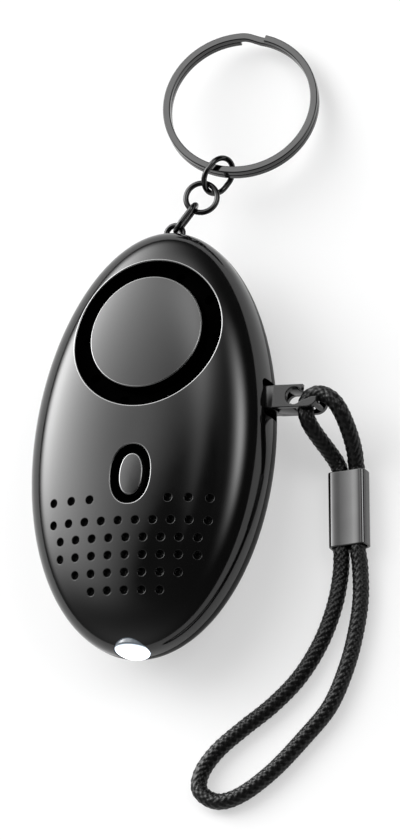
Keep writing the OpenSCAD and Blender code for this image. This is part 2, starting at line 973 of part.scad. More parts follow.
module wrist_cord() {
  color(black)
    cord(smooth(cord_route, 2), cord_d / 2, 8);
}

module ferrule() {
  gap = channel_r;
  color(metal)
    translate([ferrule_x, ferrule_y, 2])
      rotate([0, 0, ferrule_heading])
        rotate([90, 0, 0])
          linear_extrude(height = ferrule_len)
            difference() {
              polygon(oval(2 * gap + ferrule_wall, ferrule_t / 2, 2.6, 48));
              for (side = [-1, 1])
                translate([side * gap, 0])
                  circle(channel_r);
              translate([-gap, -channel_r])
                square([2 * gap, 2 * channel_r]);
            }
}

// Key chain

module key_eyelet() {
  foot_y = case_half_l - 3;
  turn_y = eye_y - eye_w / 2;
  color(metal)
    translate([0, 0, part_z]) {
      translate([0, turn_y, 0])
        rotate_extrude(angle = 180)
          translate([eye_w / 2, 0])
            circle(wire_r);
      for (side = [-1, 1]) {
        translate([side * eye_w / 2, foot_y, 0])
          rotate([-90, 0, 0])
            cylinder(r = wire_r, h = turn_y - foot_y);
        translate([side * eye_w / 2, foot_y, 0])
          sphere(r = wire_r);
        translate([side * eye_w / 2, foot_y, 0])
          rotate([0, side * 90, 0])
            cylinder(r = wire_r, h = 2);
      }
    }
}

module chain_link_1() {
  color(metal)
    chain_frame(link_1_start, 90 + link_twist[0])
      wire_oval(link_1_len, link_1_w, wire_r);
}

module chain_link_2() {
  color(metal)
    chain_frame(link_2_start, link_twist[1])
      translate([link_2_d / 2, 0, 0])
        rotate_extrude()
          translate([link_2_d / 2, 0])
            circle(wire_r);
}

module chain_link_3() {
  color(metal)
    chain_frame(link_3_start, 90 + link_twist[2])
      wire_oval(link_3_len, link_3_w, wire_r);
}

module at_ring() {
  d = [cos(chain_drop) * cos(chain_heading), cos(chain_drop) * sin(chain_heading), -sin(chain_drop)];
  translate(chain_origin + ring_reach * d)
    rotate([0, 0, ring_heading])
      rotate([0, ring_tilt, 0])
        rotate([ring_roll, 0, 0])
          translate([ring_r, 0, 0])
            children();
}

function ease(t) = t * t * (3 - 2 * t);

// Height of the split ring's wire after t degrees: one flat coil, a short climb, and a second flat coil
function coil_z(t, low, high) = low + (high - low) * ease(min(max((t - climb_start) / climb_len, 0), 1));

module split_ring() {
  r0 = ring_d / 2 - ring_wire_w;
  r1 = ring_d / 2;
  low = -coil_gap / 2 - coil_h;
  high = coil_gap / 2;
  steps = 140;
  points = [for (i = [0:steps])
    let (t = coil_start + 5 * i, z = coil_z(t, low, high))
    each [
      [r0 * cos(t), r0 * sin(t), z], [r1 * cos(t), r1 * sin(t), z],
      [r1 * cos(t), r1 * sin(t), z + coil_h], [r0 * cos(t), r0 * sin(t), z + coil_h]
    ]];
  skin = [for (i = [0:steps - 1]) for (k = [0:3]) for (h = [0, 1])
    h == 0
      ? [4 * i + k, 4 * i + (k + 1) % 4, 4 * i + 4 + (k + 1) % 4]
      : [4 * i + k, 4 * i + 4 + (k + 1) % 4, 4 * i + 4 + k]];
  color(metal)
    at_ring()
      rotate([0, 0, ramp_turn - ring_heading])
        polyhedron(
          points = points,
          faces = concat([[3, 2, 1, 0], [4 * steps, 4 * steps + 1, 4 * steps + 2, 4 * steps + 3]], skin),
          convexity = 6
        );
}

front_shell();
rear_shell();
case_screws();
sounder_cap();
sounder_gasket();
sounder_plate();
sounder_ceramic();
sounder_leads();
torch_button();
switch_body();
switch_plunger();
circuit_board();
driver_chip();
boost_coil();
power_transistor();
chip_resistors();
torch_lens();
torch_lamp();
lamp_leads();
cell_1();
cell_2();
cell_3();
positive_contact();
negative_contact();
pin_contact_rest();
pin_contact_post();
pin_contact_leaf();
pull_pin();
wrist_cord();
ferrule();
key_eyelet();
chain_link_1();
chain_link_2();
chain_link_3();
split_ring();
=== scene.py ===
from math import acos, asin, cos, degrees, pi, radians, sin

import bpy
import numpy as np
from mathutils import Matrix, Vector
from mathutils.geometry import delaunay_2d_cdt


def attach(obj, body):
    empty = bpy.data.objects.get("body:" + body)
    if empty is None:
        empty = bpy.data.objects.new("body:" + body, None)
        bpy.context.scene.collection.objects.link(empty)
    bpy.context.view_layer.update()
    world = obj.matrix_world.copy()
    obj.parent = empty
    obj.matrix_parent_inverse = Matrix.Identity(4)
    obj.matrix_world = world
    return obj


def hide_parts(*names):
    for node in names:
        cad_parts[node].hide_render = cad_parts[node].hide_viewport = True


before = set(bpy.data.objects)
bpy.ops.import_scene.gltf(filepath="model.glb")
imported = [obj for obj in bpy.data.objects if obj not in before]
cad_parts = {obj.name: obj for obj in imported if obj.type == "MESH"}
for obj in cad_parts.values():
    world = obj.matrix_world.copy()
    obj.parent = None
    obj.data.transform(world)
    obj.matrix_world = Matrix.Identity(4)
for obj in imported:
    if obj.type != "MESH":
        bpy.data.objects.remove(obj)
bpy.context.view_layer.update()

MM = 0.001

# Case
HALF_W, HALF_L, TAPER = 22.5, 39.25, -0.04
PART_Z = 9.5
ON_PLANE = Matrix.Translation((0, 0, PART_Z))
FRONT_H, FRONT_P, FRONT_Q = 10.1, 2.53, 2.76
REAR_H, REAR_P, REAR_Q = 10.0, 2.28, 2.44
EDGE_ROUND = 0.08
EDGE_WALL = 1.6
MESH_STEP = 0.8

# Sounder, in a frame that leans towards the key ring
SOUNDER_MIDDLE, SOUNDER_TILT = np.array((0, 18.5, 9.0)), radians(6)
SOUNDER_AXIS = np.array((0, sin(SOUNDER_TILT), cos(SOUNDER_TILT)))
SOUNDER_AHEAD = np.array((0, cos(SOUNDER_TILT), -sin(SOUNDER_TILT)))
GROOVE_R, CAP_R, GROOVE_FLOOR, GROOVE_FLOOR_T = 13.9, 10.65, 3.6, 1.4
PORT_R, PORT_COUNT = 0.9, 10

# Torch button and its well
BUTTON_Y, BUTTON_R, BUTTON_HALF = 8.05, 2.3, 3.9
WELL_GAP, WELL_DEPTH, BUTTON_SINK = 1.5, 1.7, 0.25
BUTTON_POWER, BUTTON_SIDES, BUTTON_GAP, SLOT_DEPTH = 2.2, 72, 0.1, 1.2

# Grip dimples: distance of the row from the centre, spacing, position of the first, number
DIMPLE_R, DIMPLE_DEPTH = 0.75, 0.65
DIMPLE_ROWS = (
    (12.6, 3.75, -4, 3), (12.6, 3.75, 2, 3), (16.6, 3.3, -4.5, 10), (19.7, 3.3, -4, 9),
    (22.8, 3.3, -4, 9), (25.9, 3.3, -3, 7), (29.0, 3.3, -2, 5),
)

# Torch lamp
LENS_R, LENS_BULGE, LENS_HOLE_R, LENS_DEPTH = 3.2, 1.0, 3.3, 2.6
LENS_RIM_Y, LAMP_RISE, LAMP_TILT = 38.45, 2.0, radians(14)

# Pull pin
PIN_Y, NOTCH_H, NOTCH_FLOOR_X = 7.6, 6.8, 19.8
BLADE_W, BLADE_T, BLADE_TIP_X, TAPER_X = 4.0, 1.4, 11.0, 17.0
HEAD_ROOT_X, HEAD_NECK_X, WEB_END_X, FOOT_END_X, HEAD_END_X = 20.4, 23.4, 27.2, 26.6, 31.5
HEAD_W, HEAD_DEPTH, PLATE_T = 4.2, 5.4, 1.05
WINDOW_X, WINDOW_LEN, WINDOW_H = 26.95, 6.1, 2.9
HOOK_X, HOOK_R, MOUTH_X, MOUTH_Y, LIP_CUT = 26.9, 1.6, 28.4, 1.2, 0.3
ARM_END_X, ARM_END_Y, ARM_ROOT = 31.2, -0.2, (30.2, -0.3)
BAR_X, BAR_DROP, BAR_D, BAR_SHORT = 30.4, 1.1, 1.2, 0.2
BLADE_GAP, BLADE_SLOT_DEPTH, BLADE_TIP_Z = 0.12, 6, 0.3
PLATE_BACK_X = HEAD_NECK_X - 0.6

# Screw holes in the rear shell
BOSS_X, BOSS_Y, SCREW_HOLE_R, SCREW_SEAT_Z = 13.6, -19.0, 2.1, 4.2

# Key chain
WIRE_R, EYE_W, CHAIN_GAP = 0.5, 3.2, 0.1
EYE_Y = HALF_L + WIRE_R + 1.35
CHAIN_HEADING, CHAIN_DROP = radians(60), radians(10)
LINK_1, LINK_2_D, LINK_3 = (6.0, 3.5), 5.6, (6.7, 5.8)
LINK_TWIST = (radians(20), radians(10), radians(-20))
RING_D, RING_WIRE_W, COIL_H, COIL_GAP, RING_INSET = 28.0, 1.3, 1.2, 0.06, 2.35
RING_HEADING, RING_TILT, RING_ROLL, RAMP_TURN = radians(83), radians(10), radians(9.5), radians(95.5)
COIL_START, COIL_STOP, CLIMB_START, CLIMB_LEN = 3, 703, 346, 14

# Wrist cord and its ferrule
CORD_D = 3.0
FERRULE = (34.3, -3.8, 2.0)
FERRULE_LEN, FERRULE_T, FERRULE_WALL, FERRULE_HEADING = 14.0, 4.0, 0.45, radians(6)
ROUTE_MM = (
    (33.6, -11.5, 2), (33.1, -7.2, 2), (32.76, -3.96, 2), (32.2, -2.2, 2.6), (31.2, -0.5, 4.2),
    (30.1, 1.2, 6.3), (29.2, 2.8, 8.3), (28.6, 4.4, 9.4), (28.25, 6.5, 9.5), (28.88, 8.02, 9.5),
    (30.4, 8.65, 9.5), (32.1, 8.2, 9.5), (33.5, 7.2, 9.4), (34.6, 5.6, 8.7), (35.3, 3.6, 7.2),
    (35.7, 1.5, 5.4), (35.8, -0.6, 3.5), (35.7, -2.4, 2.3), (35.84, -3.64, 2), (36.5, -10, 2),
    (37.29, -17.64, 2), (37.9, -21, 1.7), (38.5, -26.8, 1.55), (38.2, -32.7, 1.55), (37, -39.5, 1.55),
    (34.4, -46.7, 1.55), (29.8, -52.6, 1.55), (24.5, -58.3, 1.55), (19, -62.4, 1.55), (14.5, -63.6, 1.55),
    (11, -61.6, 1.55), (11, -58.2, 1.55), (13.7, -54.2, 1.55), (18.2, -50.3, 1.55), (23.4, -46.2, 1.55),
    (28.1, -41.2, 1.55), (31.6, -35, 1.55), (33.6, -28.5, 1.55), (34.3, -22.5, 1.6), (34.21, -17.96, 2),
    (33.65, -12, 2),
)
CORD_ROUTE = [tuple(round(v * MM, 6) for v in point) for point in ROUTE_MM]


# Camera

PIXELS_PER_MM, IMAGE_H, SENSOR_H = 5.65, 840, 36
AIM_RIGHT, AIM_UP = 7.86, 4.67


def link(name, data):
    made = bpy.data.objects.new(name, data)
    bpy.context.scene.collection.objects.link(made)
    return made


def make_camera():
    right = Vector((0.9195, 0.0854, -0.3836))
    up = Vector((0.0363, 0.9535, 0.2991))
    back = right.cross(up).normalized()
    up = back.cross(right).normalized()
    right = up.cross(back)
    distance, frame_height = 3.0, IMAGE_H / PIXELS_PER_MM * MM
    aim = Vector((0, 0, PART_Z)) + AIM_RIGHT * right + AIM_UP * up
    data = bpy.data.cameras.new("camera")
    data.sensor_fit = "VERTICAL"
    data.sensor_height = SENSOR_H
    data.lens = SENSOR_H * distance / frame_height
    camera = link("camera", data)
    turn = Matrix((right, up, back)).transposed().to_4x4()
    camera.matrix_world = Matrix.Translation(aim * MM + distance * back) @ turn
    bpy.context.scene.camera = camera


# Mesh building

class Sheet:
    """Points with their normals, and the faces between them, each with the slot of its material."""

    def __init__(self):
        self.points, self.normals, self.faces, self.slots = [], [], [], []
        self.slot = 0

    def face(self, ring):
        self.faces.append(tuple(ring))
        self.slots.append(self.slot)

    def add(self, points, normals):
        points = np.asarray(points, float).reshape(-1, 3)
        normals = np.broadcast_to(np.asarray(normals, float), points.shape)
        start = len(self.points)
        self.points.extend(points)
        self.normals.extend(normals)
        return list(range(start, len(self.points)))

    def bridge(self, a, b, closed=True):
        count = len(a)
        for i in range(count if closed else count - 1):
            j = (i + 1) % count
            self.face((a[i], a[j], b[j], b[i]))

    def loft(self, levels):
        """Adds rings of points with their normals, and bridges each to the next."""
        rings = [self.add(*level) for level in levels]
        for a, b in zip(rings, rings[1:]):
            self.bridge(a, b)
        return rings

    def at(self, ring):
        return np.array([self.points[v] for v in ring])

    def fan(self, ring, point, normal):
        centre = self.add([point], [normal])[0]
        for i, vertex in enumerate(ring):
            self.face((vertex, ring[(i + 1) % len(ring)], centre))

    def join(self, other):
        start = len(self.points)
        self.points.extend(other.points)
        self.normals.extend(other.normals)
        for face in other.faces:
            self.face(v + start for v in face)

    def move(self, matrix):
        turn = np.array(matrix.to_3x3())
        shift = np.array(matrix.translation)
        self.points = list(np.array(self.points) @ turn.T + shift)
        self.normals = list(np.array(self.normals) @ turn.T)
        return self


def faced(points, normals, sheet):
    """The faces, each turned so that it looks the way its points' normals do, and their slots."""
    turned, slots = [], []
    for face, slot in zip(sheet.faces, sheet.slots):
        ring = [v for i, v in enumerate(face) if v != face[i - 1]]
        spokes = points[ring] - points[ring].mean(0)
        across = np.cross(spokes, np.roll(spokes, -1, 0)).sum(0)
        if np.linalg.norm(across) < 1e-9:
            continue
        turned.append(ring if across @ normals[ring].sum(0) > 0 else ring[::-1])
        slots.append(slot)
    return turned, slots


def make_mesh(sheet, name, materials):
    points = np.array(sheet.points)
    faces, slots = faced(points, np.array(sheet.normals), sheet)
    mesh = bpy.data.meshes.new(name)
    mesh.from_pydata((points * MM).tolist(), [], faces)
    for material in materials:
        mesh.materials.append(material)
    mesh.polygons.foreach_set("material_index", slots)
    mesh.polygons.foreach_set("use_smooth", [True] * len(mesh.polygons))
    return mesh


def place(mesh, name, body, *nodes):
    mesh.update()
    piece = link(name, mesh)
    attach(piece, body)
    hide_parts(*nodes)
    return piece


def show(sheet, name, materials, body, *nodes):
    mesh = make_mesh(sheet, name, materials)
    mesh.normals_split_custom_set_from_vertices(unit(np.array(sheet.normals)).tolist())
    return place(mesh, name, body, *nodes)


def unit(v):
    return v / np.linalg.norm(v, axis=-1, keepdims=True)


def roll(sheet, ring, p, n, d, w, round_r, depth, steps=5, wall_slot=0, round_slot=0):
    """Carries an edge on from the ring of points p: round the edge from normal n to d, then depth along w."""
    depth = np.broadcast_to(np.asarray(depth, float), (len(p),))[:, None]
    n, w = np.asarray(n, float), np.asarray(w, float)
    sheet.slot = round_slot
    for k in range(1, steps + 1):
        t = pi / 2 * k / steps
        q = p + round_r * (sin(t) * d + (1 - cos(t)) * w)
        level = sheet.add(q, unit(cos(t) * n + sin(t) * d))
        sheet.bridge(ring, level)
        ring = level
    level = sheet.add(q + (depth - round_r) * w, d)
    sheet.slot = wall_slot
    sheet.bridge(ring, level)
    sheet.slot = 0
    return level


def circle(count):
    turn = 2 * pi * np.arange(count) / count
    return np.cos(turn), np.sin(turn)


def raised(flat, z=0.0):
    """Flat points, or directions, as solid ones at height z."""
    return np.column_stack([flat, np.full(len(flat), z)])


def outward(loop):
    """Outward normals of a flat outline that runs anticlockwise."""
    along = np.roll(loop, -1, 0) - np.roll(loop, 1, 0)
    return unit(np.stack([along[:, 1], -along[:, 0]], 1))


def stadium(r, straight, per_end=16):
    """A slot outline along Y, anticlockwise: its points and outward normals."""
    turn = np.linspace(0, pi, per_end)
    turn = np.concatenate([turn, turn + pi])
    shift = np.where(np.arange(2 * per_end) < per_end, straight / 2, -straight / 2)
    normals = np.stack([np.cos(turn), np.sin(turn)], 1)
    return r * normals + np.stack([0 * shift, shift], 1), normals


def rounded(a, b, power, count):
    """A rounded oval outline, anticlockwise: its points and outward normals."""
    shape = np.stack(circle(count), 1)
    shape = np.sign(shape) * np.abs(shape) ** (2 / power)
    return shape * (a, b), unit(np.sign(shape) * np.abs(shape) ** (power - 1) / (a, b))


# Case shells

class Dome:
    """Half of the egg. r is 1 on the parting plane, where z = 0, and 0 at the crown."""

    MEAN_R = 30.0

    def __init__(self, h, p, q, cut=None):
        self.h, self.p, self.q, self.cut = h, p, q, cut
        self.turn = np.linspace(0, pi / 2, 1441)
        r = np.cos(self.turn) ** (2 / p)
        z = h * np.sin(self.turn) ** (2 / q)
        run = np.hypot(np.diff(r) * self.MEAN_R, np.diff(z))
        self.reach = np.append(np.cumsum(run[::-1])[::-1], 0) / self.MEAN_R

    def width(self, y):
        return HALF_W * (1 + TAPER * y / HALF_L)

    def radius(self, x, y):
        return np.hypot(x / self.width(y), y / HALF_L)

    def height(self, x, y):
        r = np.minimum(self.radius(x, y), 1)
        z = self.h * (1 - r ** self.p) ** (1 / self.q)
        return z if self.cut is None else np.minimum(z, self.cut)

    def at(self, x, y):
        return np.stack([x, y, self.height(x, y)], -1)

    def r_at(self, z):
        return (1 - (z / self.h) ** self.q) ** (1 / self.p)

    def normal(self, v):
        x, y, z = np.asarray(v).T
        w = self.width(y)
        across, along = x / w, y / HALF_L
        r = np.maximum(np.hypot(across, along), 1e-6)
        rise = self.p * r ** (self.p - 1) / r
        slope = HALF_W * TAPER / HALF_L
        n = unit(np.stack([
            rise * across / w,
            rise * (along / HALF_L - across ** 2 * slope / w),
            self.q * (z / self.h) ** (self.q - 1) / self.h,
        ], 1))
        if self.cut is not None:
            n[z > self.cut - 1e-6] = (0, 0, 1)
        return n

    def unroll(self, v):
        """The points on a flat map of the dome, which keeps lengths down the sides."""
        x, y, z = np.asarray(v).T
        r = np.maximum(self.radius(x, y), 1e-9)
        turn = np.arctan2((z / self.h) ** (self.q / 2), r ** (self.p / 2))
        reach = np.interp(turn, self.turn, self.reach)
        return np.stack([reach * x / self.width(y) / r * HALF_W, reach * y / r], 1)

    def lift(self, flat):
        across, along = (np.asarray(flat) / (HALF_W, HALF_L)).T
        reach = np.maximum(np.hypot(across, along), 1e-9)
        turn = np.interp(reach, self.reach[::-1], self.turn[::-1])
        r = np.cos(turn) ** (2 / self.p)
        y = HALF_L * r * along / reach
        z = self.h * np.sin(turn) ** (2 / self.q)
        z = z if self.cut is None else np.minimum(z, self.cut)
        return np.stack([self.width(y) * r * across / reach, y, z], 1)


def inside(points, loop):
    """Which points lie inside a closed loop."""
    x, y = points.T
    found = np.zeros(len(points), bool)
    for (x0, y0), (x1, y1) in zip(loop, np.roll(loop, -1, 0)):
        if y0 != y1:
            crosses = (y0 > y) != (y1 > y)
            found ^= crosses & (x < (x1 - x0) * (y - y0) / (y1 - y0) + x0)
    return found


def fill(sheet, ids, flat, loops, hole_count):
    """Faces between flat points, which start with those of the loops: inside the first loop, outside its holes."""
    edges, start = [], 0
    for loop in loops:
        count = len(loop)
        edges += [(start + i, start + (i + 1) % count) for i in range(count)]
        start += count
    made = delaunay_2d_cdt([Vector(v) for v in flat], edges, [], 0, 1e-6)
    source = [v[0] for v in made[3]]
    faces = np.array([[source[v] for v in face] for face in made[2]])
    middle = flat[faces].mean(1)
    keep = inside(middle, loops[0])
    for hole in loops[1:1 + hole_count]:
        keep &= ~inside(middle, hole)
    for face in faces[keep]:
        sheet.face(ids[v] for v in face)


def cover(sheet, dome, edge, holes, creases=()):
    """Covers the dome inside its edge, leaving the holes open. Returns the rings of the edge and of the holes."""
    loops = [np.asarray(v) for v in (edge, *holes, *creases)]
    maps = [dome.unroll(v) for v in loops]
    low, high = maps[0].min(0), maps[0].max(0)
    rows = np.arange(low[1], high[1], MESH_STEP * 0.866)
    grid = np.array([
        (x, y) for i, y in enumerate(rows)
        for x in np.arange(low[0] + MESH_STEP / 2 * (i % 2), high[0], MESH_STEP)
    ])
    grid = grid[inside(grid, maps[0])]
    for flat in maps[1:1 + len(holes)]:
        grid = grid[~inside(grid, flat)]
    for flat in maps:
        gap = np.linalg.norm(flat - np.roll(flat, 1, 0), axis=1).mean()
        near = np.full(len(grid), np.inf)
        for point in flat:
            near = np.minimum(near, ((grid - point) ** 2).sum(1))
        grid = grid[near > (0.75 * min(gap, MESH_STEP)) ** 2]
    flat = np.concatenate([*maps, grid])
    points = np.concatenate([*loops, dome.lift(grid)])
    ids = np.array(sheet.add(points, dome.normal(points)))
    fill(sheet, ids, flat, maps, len(holes))
    rings, start = [], 0
    for loop in loops[:1 + len(holes)]:
        rings.append(list(ids[start:start + len(loop)]))
        start += len(loop)
    return rings


def tangent(n, v):
    """Direction v laid into the surface with normal n."""
    return unit(v - (v * n).sum(-1, keepdims=True) * n)


def lamp_ring(dome, side, turn):
    """Points on the dome round the lamp's axis, directions away from it, the axis, and heights on it."""
    axis = np.array((0, -cos(LAMP_TILT), side * sin(LAMP_TILT)))
    up = np.array((0, side * sin(LAMP_TILT), cos(LAMP_TILT)))
    away = np.cos(turn)[:, None] * (1, 0, 0) + np.sin(turn)[:, None] * up
    base = np.array((0, -LENS_RIM_Y, side * LAMP_RISE)) + (LENS_HOLE_R + EDGE_ROUND) * away
    low, high = np.full(len(turn), -6.0), np.full(len(turn), 6.0)
    for _ in range(50):
        middle = (low + high) / 2
        x, y, z = (base + middle[:, None] * axis).T
        out = dome.radius(x, y) ** dome.p + (np.maximum(z, 0) / dome.h) ** dome.q > 1
        low, high = np.where(out, low, middle), np.where(out, middle, high)
    return base + middle[:, None] * axis, away, axis, middle


def lamp_corner(dome, side):
    """How far round the lamp's hole its edge meets the parting edge."""
    low, high = -pi / 2, pi / 2
    for _ in range(50):
        middle = (low + high) / 2
        above = lamp_ring(dome, side, np.array([middle]))[0][0, 2] > EDGE_ROUND
        low, high = (low, middle) if above else (middle, high)
    return middle


def case_edge(dome, side):
    """The edge at the parting plane with the pin's notch and the lamp's hole: points, normals, and ways on."""
    rim_r = dome.r_at(EDGE_ROUND)
    half = NOTCH_H / 2 + EDGE_ROUND
    corner = 1.0
    before = 2 * pi + asin((PIN_Y - half) / (HALF_L * rim_r))
    after = asin((PIN_Y + half) / (HALF_L * rim_r))
    meet = lamp_corner(dome, side)
    x, y, _ = lamp_ring(dome, side, np.array([meet]))[0][0]
    lamp_turn = acos(x / (dome.width(y) * rim_r))

    def rim(start, end):
        turn = np.linspace(start, end, int((end - start) * 40))
        y = HALF_L * rim_r * np.sin(turn)
        p = np.stack([dome.width(y) * rim_r * np.cos(turn), y, np.full(len(y), EDGE_ROUND)], 1)
        n = dome.normal(p)
        level = unit(n * (1, 1, 0))
        return p, n, np.tile((0, 0, -1.0), (len(p), 1)), -level, np.full(len(p), EDGE_WALL)

    def lamp_hole():
        p, away, axis, rise = lamp_ring(dome, side, np.linspace(pi - meet, meet, 41))
        n = dome.normal(p)
        return p, n, tangent(n, -away), np.tile(-axis, (len(p), 1)), rise + 1.5

    def notch():
        straight = half - corner
        bend = np.linspace(pi, pi / 2, 9)
        rise = np.linspace(EDGE_ROUND, straight, 6)
        top = np.linspace(-straight, straight, 12)[1:-1]
        across = np.concatenate([
            np.full(5, -half), -straight + corner * np.cos(bend), top,
            straight - corner * np.cos(bend[::-1]), np.full(5, half)])
        z = np.concatenate([
            rise[:-1], straight + corner * np.sin(bend), np.full(len(top), half),
            straight + corner * np.sin(bend[::-1]), rise[:-1][::-1]])
        away = np.stack([0 * across, np.sign(across) * np.maximum(np.abs(across) - straight, 0),
                         np.maximum(z - straight, 0)], 1)
        y = PIN_Y + across
        x = dome.width(y) * np.sqrt(dome.r_at(z) ** 2 - (y / HALF_L) ** 2)
        p = np.stack([x, y, z], 1)
        n = dome.normal(p)
        w = np.tile((-1.0, 0, 0), (len(p), 1))
        return p, n, tangent(n, -unit(away)), w, x - NOTCH_FLOOR_X

    runs = [rim(after, pi + lamp_turn), lamp_hole(), rim(2 * pi - lamp_turn, before), notch()]
    counts = [len(run[0]) for run in runs]
    for i, run in enumerate(runs):
        if i % 2 == 0:
            run[0][0], run[0][-1] = runs[i - 1][0][-1], runs[i + 1][0][0]
    return [np.concatenate(parts) for parts in zip(*runs)], counts


def pocket(sheet, ring):
    """The notch's floor with the blade's slot in it, from the inner ends of the notch's walls."""
    points = sheet.at(ring)
    half_w, half_t = BLADE_W / 2 + BLADE_GAP, BLADE_T / 2 + BLADE_GAP
    turn = np.linspace(0, 1, len(ring)) * (2 * half_t + 2 * half_w)
    y = np.clip(turn - half_t, 0, 2 * half_w) - half_w
    z = np.minimum(np.minimum(turn, half_t), 2 * half_t + 2 * half_w - turn)
    slot = np.stack([np.full(len(y), NOTCH_FLOOR_X), PIN_Y + y, z], 1)
    outer, inner = sheet.add(points, (1, 0, 0)), sheet.add(slot, (1, 0, 0))
    # Slot 1 paints shade: the notch's floor and the blade's slot are a flat, unreflecting black that stands for
    # the shade in the recess.
    sheet.slot = 1
    sheet.bridge(outer, inner, closed=False)
    inward = np.stack([0 * y, -y / half_w, -z / half_t], 1) + (0, 0, -1e-3)
    mouth = sheet.add(slot, unit(inward))
    sheet.bridge(mouth, sheet.add(slot - (BLADE_SLOT_DEPTH, 0, 0), unit(inward)), closed=False)
    sheet.slot = 0


def sounder_points(dome, rho, count):
    """A ring on the dome round the sounder's axis: points, directions away from the axis, heights on it."""
    c, s = circle(count)
    away = c[:, None] * (1, 0, 0) + s[:, None] * SOUNDER_AHEAD
    base = SOUNDER_MIDDLE + rho * away
    rise = np.zeros(count)
    for _ in range(12):
        q = base + rise[:, None] * SOUNDER_AXIS
        rise += dome.height(q[:, 0], q[:, 1]) - q[:, 2]
    return base + rise[:, None] * SOUNDER_AXIS, away, rise


def groove_floor(sheet, wall_foot):
    """The floor of the sounder's groove, from the foot of its wall to under the cap, with its sound ports."""
    axis, ahead = SOUNDER_AXIS, SOUNDER_AHEAD
    middle = SOUNDER_MIDDLE - GROOVE_FLOOR * axis
    wall = sheet.at(wall_foot) - middle
    loops = [np.stack([wall[:, 0], wall @ ahead], 1), (CAP_R - 1) * np.stack(circle(120), 1)]
    rim = np.stack(circle(32), 1)
    loops += [PORT_R * rim + (GROOVE_R + CAP_R) / 2 * spot for spot in np.stack(circle(PORT_COUNT), 1)]
    flat = np.concatenate(loops)
    points = middle + flat[:, :1] * (1, 0, 0) + flat[:, 1:] * ahead
    points[:len(wall)] = wall + middle
    ids = np.array(sheet.add(points, axis))
    fill(sheet, ids, flat, loops, len(loops) - 1)
    inward = -(rim[:, :1] * (1, 0, 0) + rim[:, 1:] * ahead)
    for i in range(PORT_COUNT):
        mouth = points[len(points) - len(rim) * (PORT_COUNT - i):][:len(rim)]
        sheet.bridge(sheet.add(mouth, inward), sheet.add(mouth - GROOVE_FLOOR_T * axis, inward))


def button_outline(margin, share=1):
    return rounded(share * (BUTTON_R + margin), share * (BUTTON_HALF + margin), BUTTON_POWER, BUTTON_SIDES)


def front_shell(dome, materials):
    sheet = Sheet()
    (p, n, d, w, depth), counts = case_edge(dome, 1)
    groove_round, well_round, dimple_round = 0.28, 0.22, 0.12
    groove, away, rise = sounder_points(dome, GROOVE_R + groove_round, 180)
    margin = WELL_GAP + well_round
    outline, out = button_outline(margin)
    well = dome.at(outline[:, 0], outline[:, 1] - BUTTON_Y)
    spots = [(pitch * (first + i), -y) for y, pitch, first, count in DIMPLE_ROWS for i in range(count)]
    c, s = circle(28)
    dimples = []
    for x, y in spots:
        centre = dome.at(np.array([x]), np.array([y]))
        up = dome.normal(centre)[0]
        side = unit(np.cross((0, 1, 0), up))
        ahead = np.cross(up, side)
        flat = (DIMPLE_R + dimple_round) * (c[:, None] * side + s[:, None] * ahead) + centre
        dimples.append((dome.at(flat[:, 0], flat[:, 1]), centre[0], up))
    rings = cover(sheet, dome, p, [groove, well, *(v[0] for v in dimples)])
    # Wall slot 1 paints shade: the walls of the parting edge and the notch are a flat, unreflecting black that
    # stands for shade.
    edge = roll(sheet, rings[0], p, n, d, w, EDGE_ROUND, depth, wall_slot=1)
    pocket(sheet, edge[-counts[3]:])

    n = dome.normal(groove)
    # The groove's wall, floor and ports take slot 1, painted shade; its rounded rim takes slot 2, a painted
    # highlight.
    bottom = roll(sheet, rings[1], groove, n, tangent(n, -away), -SOUNDER_AXIS,
                  groove_round, rise + GROOVE_FLOOR, wall_slot=1, round_slot=2)
    sheet.slot = 1
    groove_floor(sheet, bottom)

    # The well's wall, its floor and the key's slot take slot 1, painted shade; the well's rounded rim takes slot
    # 2, a painted highlight.
    n = dome.normal(well)
    out = raised(out)
    low = FRONT_H - WELL_DEPTH
    bottom = roll(sheet, rings[2], well, n, tangent(n, -out), (0, 0, -1), well_round, well[:, 2] - low,
                  wall_slot=1, round_slot=2)
    floor = sheet.add(sheet.at(bottom), (0, 0, 1))
    slot = raised(button_outline(BUTTON_GAP)[0] - (0, BUTTON_Y), low)
    mouth = sheet.add(slot, (0, 0, 1))
    sheet.slot = 1
    sheet.bridge(floor, mouth)
    sheet.bridge(sheet.add(slot, -out), sheet.add(slot - (0, 0, SLOT_DEPTH), -out))
    sheet.slot = 0

    ball = (DIMPLE_R ** 2 + DIMPLE_DEPTH ** 2) / (2 * DIMPLE_DEPTH)
    for ring, (q, centre, up) in zip(rings[3:], dimples):
        n = dome.normal(q)
        d = tangent(n, centre - q)
        level = roll(sheet, ring, q, n, d, -up, dimple_round, dimple_round + 0.01, 3)
        for share in (0.93, 0.8, 0.6, 0.35):
            drop = np.sqrt(ball ** 2 - (share * DIMPLE_R) ** 2) - (ball - DIMPLE_DEPTH)
            flat = centre + share * DIMPLE_R * d
            flat = dome.at(flat[:, 0], flat[:, 1]) - drop * up
            lower = sheet.add(flat, unit(share * DIMPLE_R * d + (ball - DIMPLE_DEPTH + drop) * up))
            sheet.bridge(level, lower)
            level = lower
        sheet.fan(level, centre - DIMPLE_DEPTH * up, up)
    sheet.move(ON_PLANE)
    show(sheet, "case_front", materials, "housing", "front_shell")


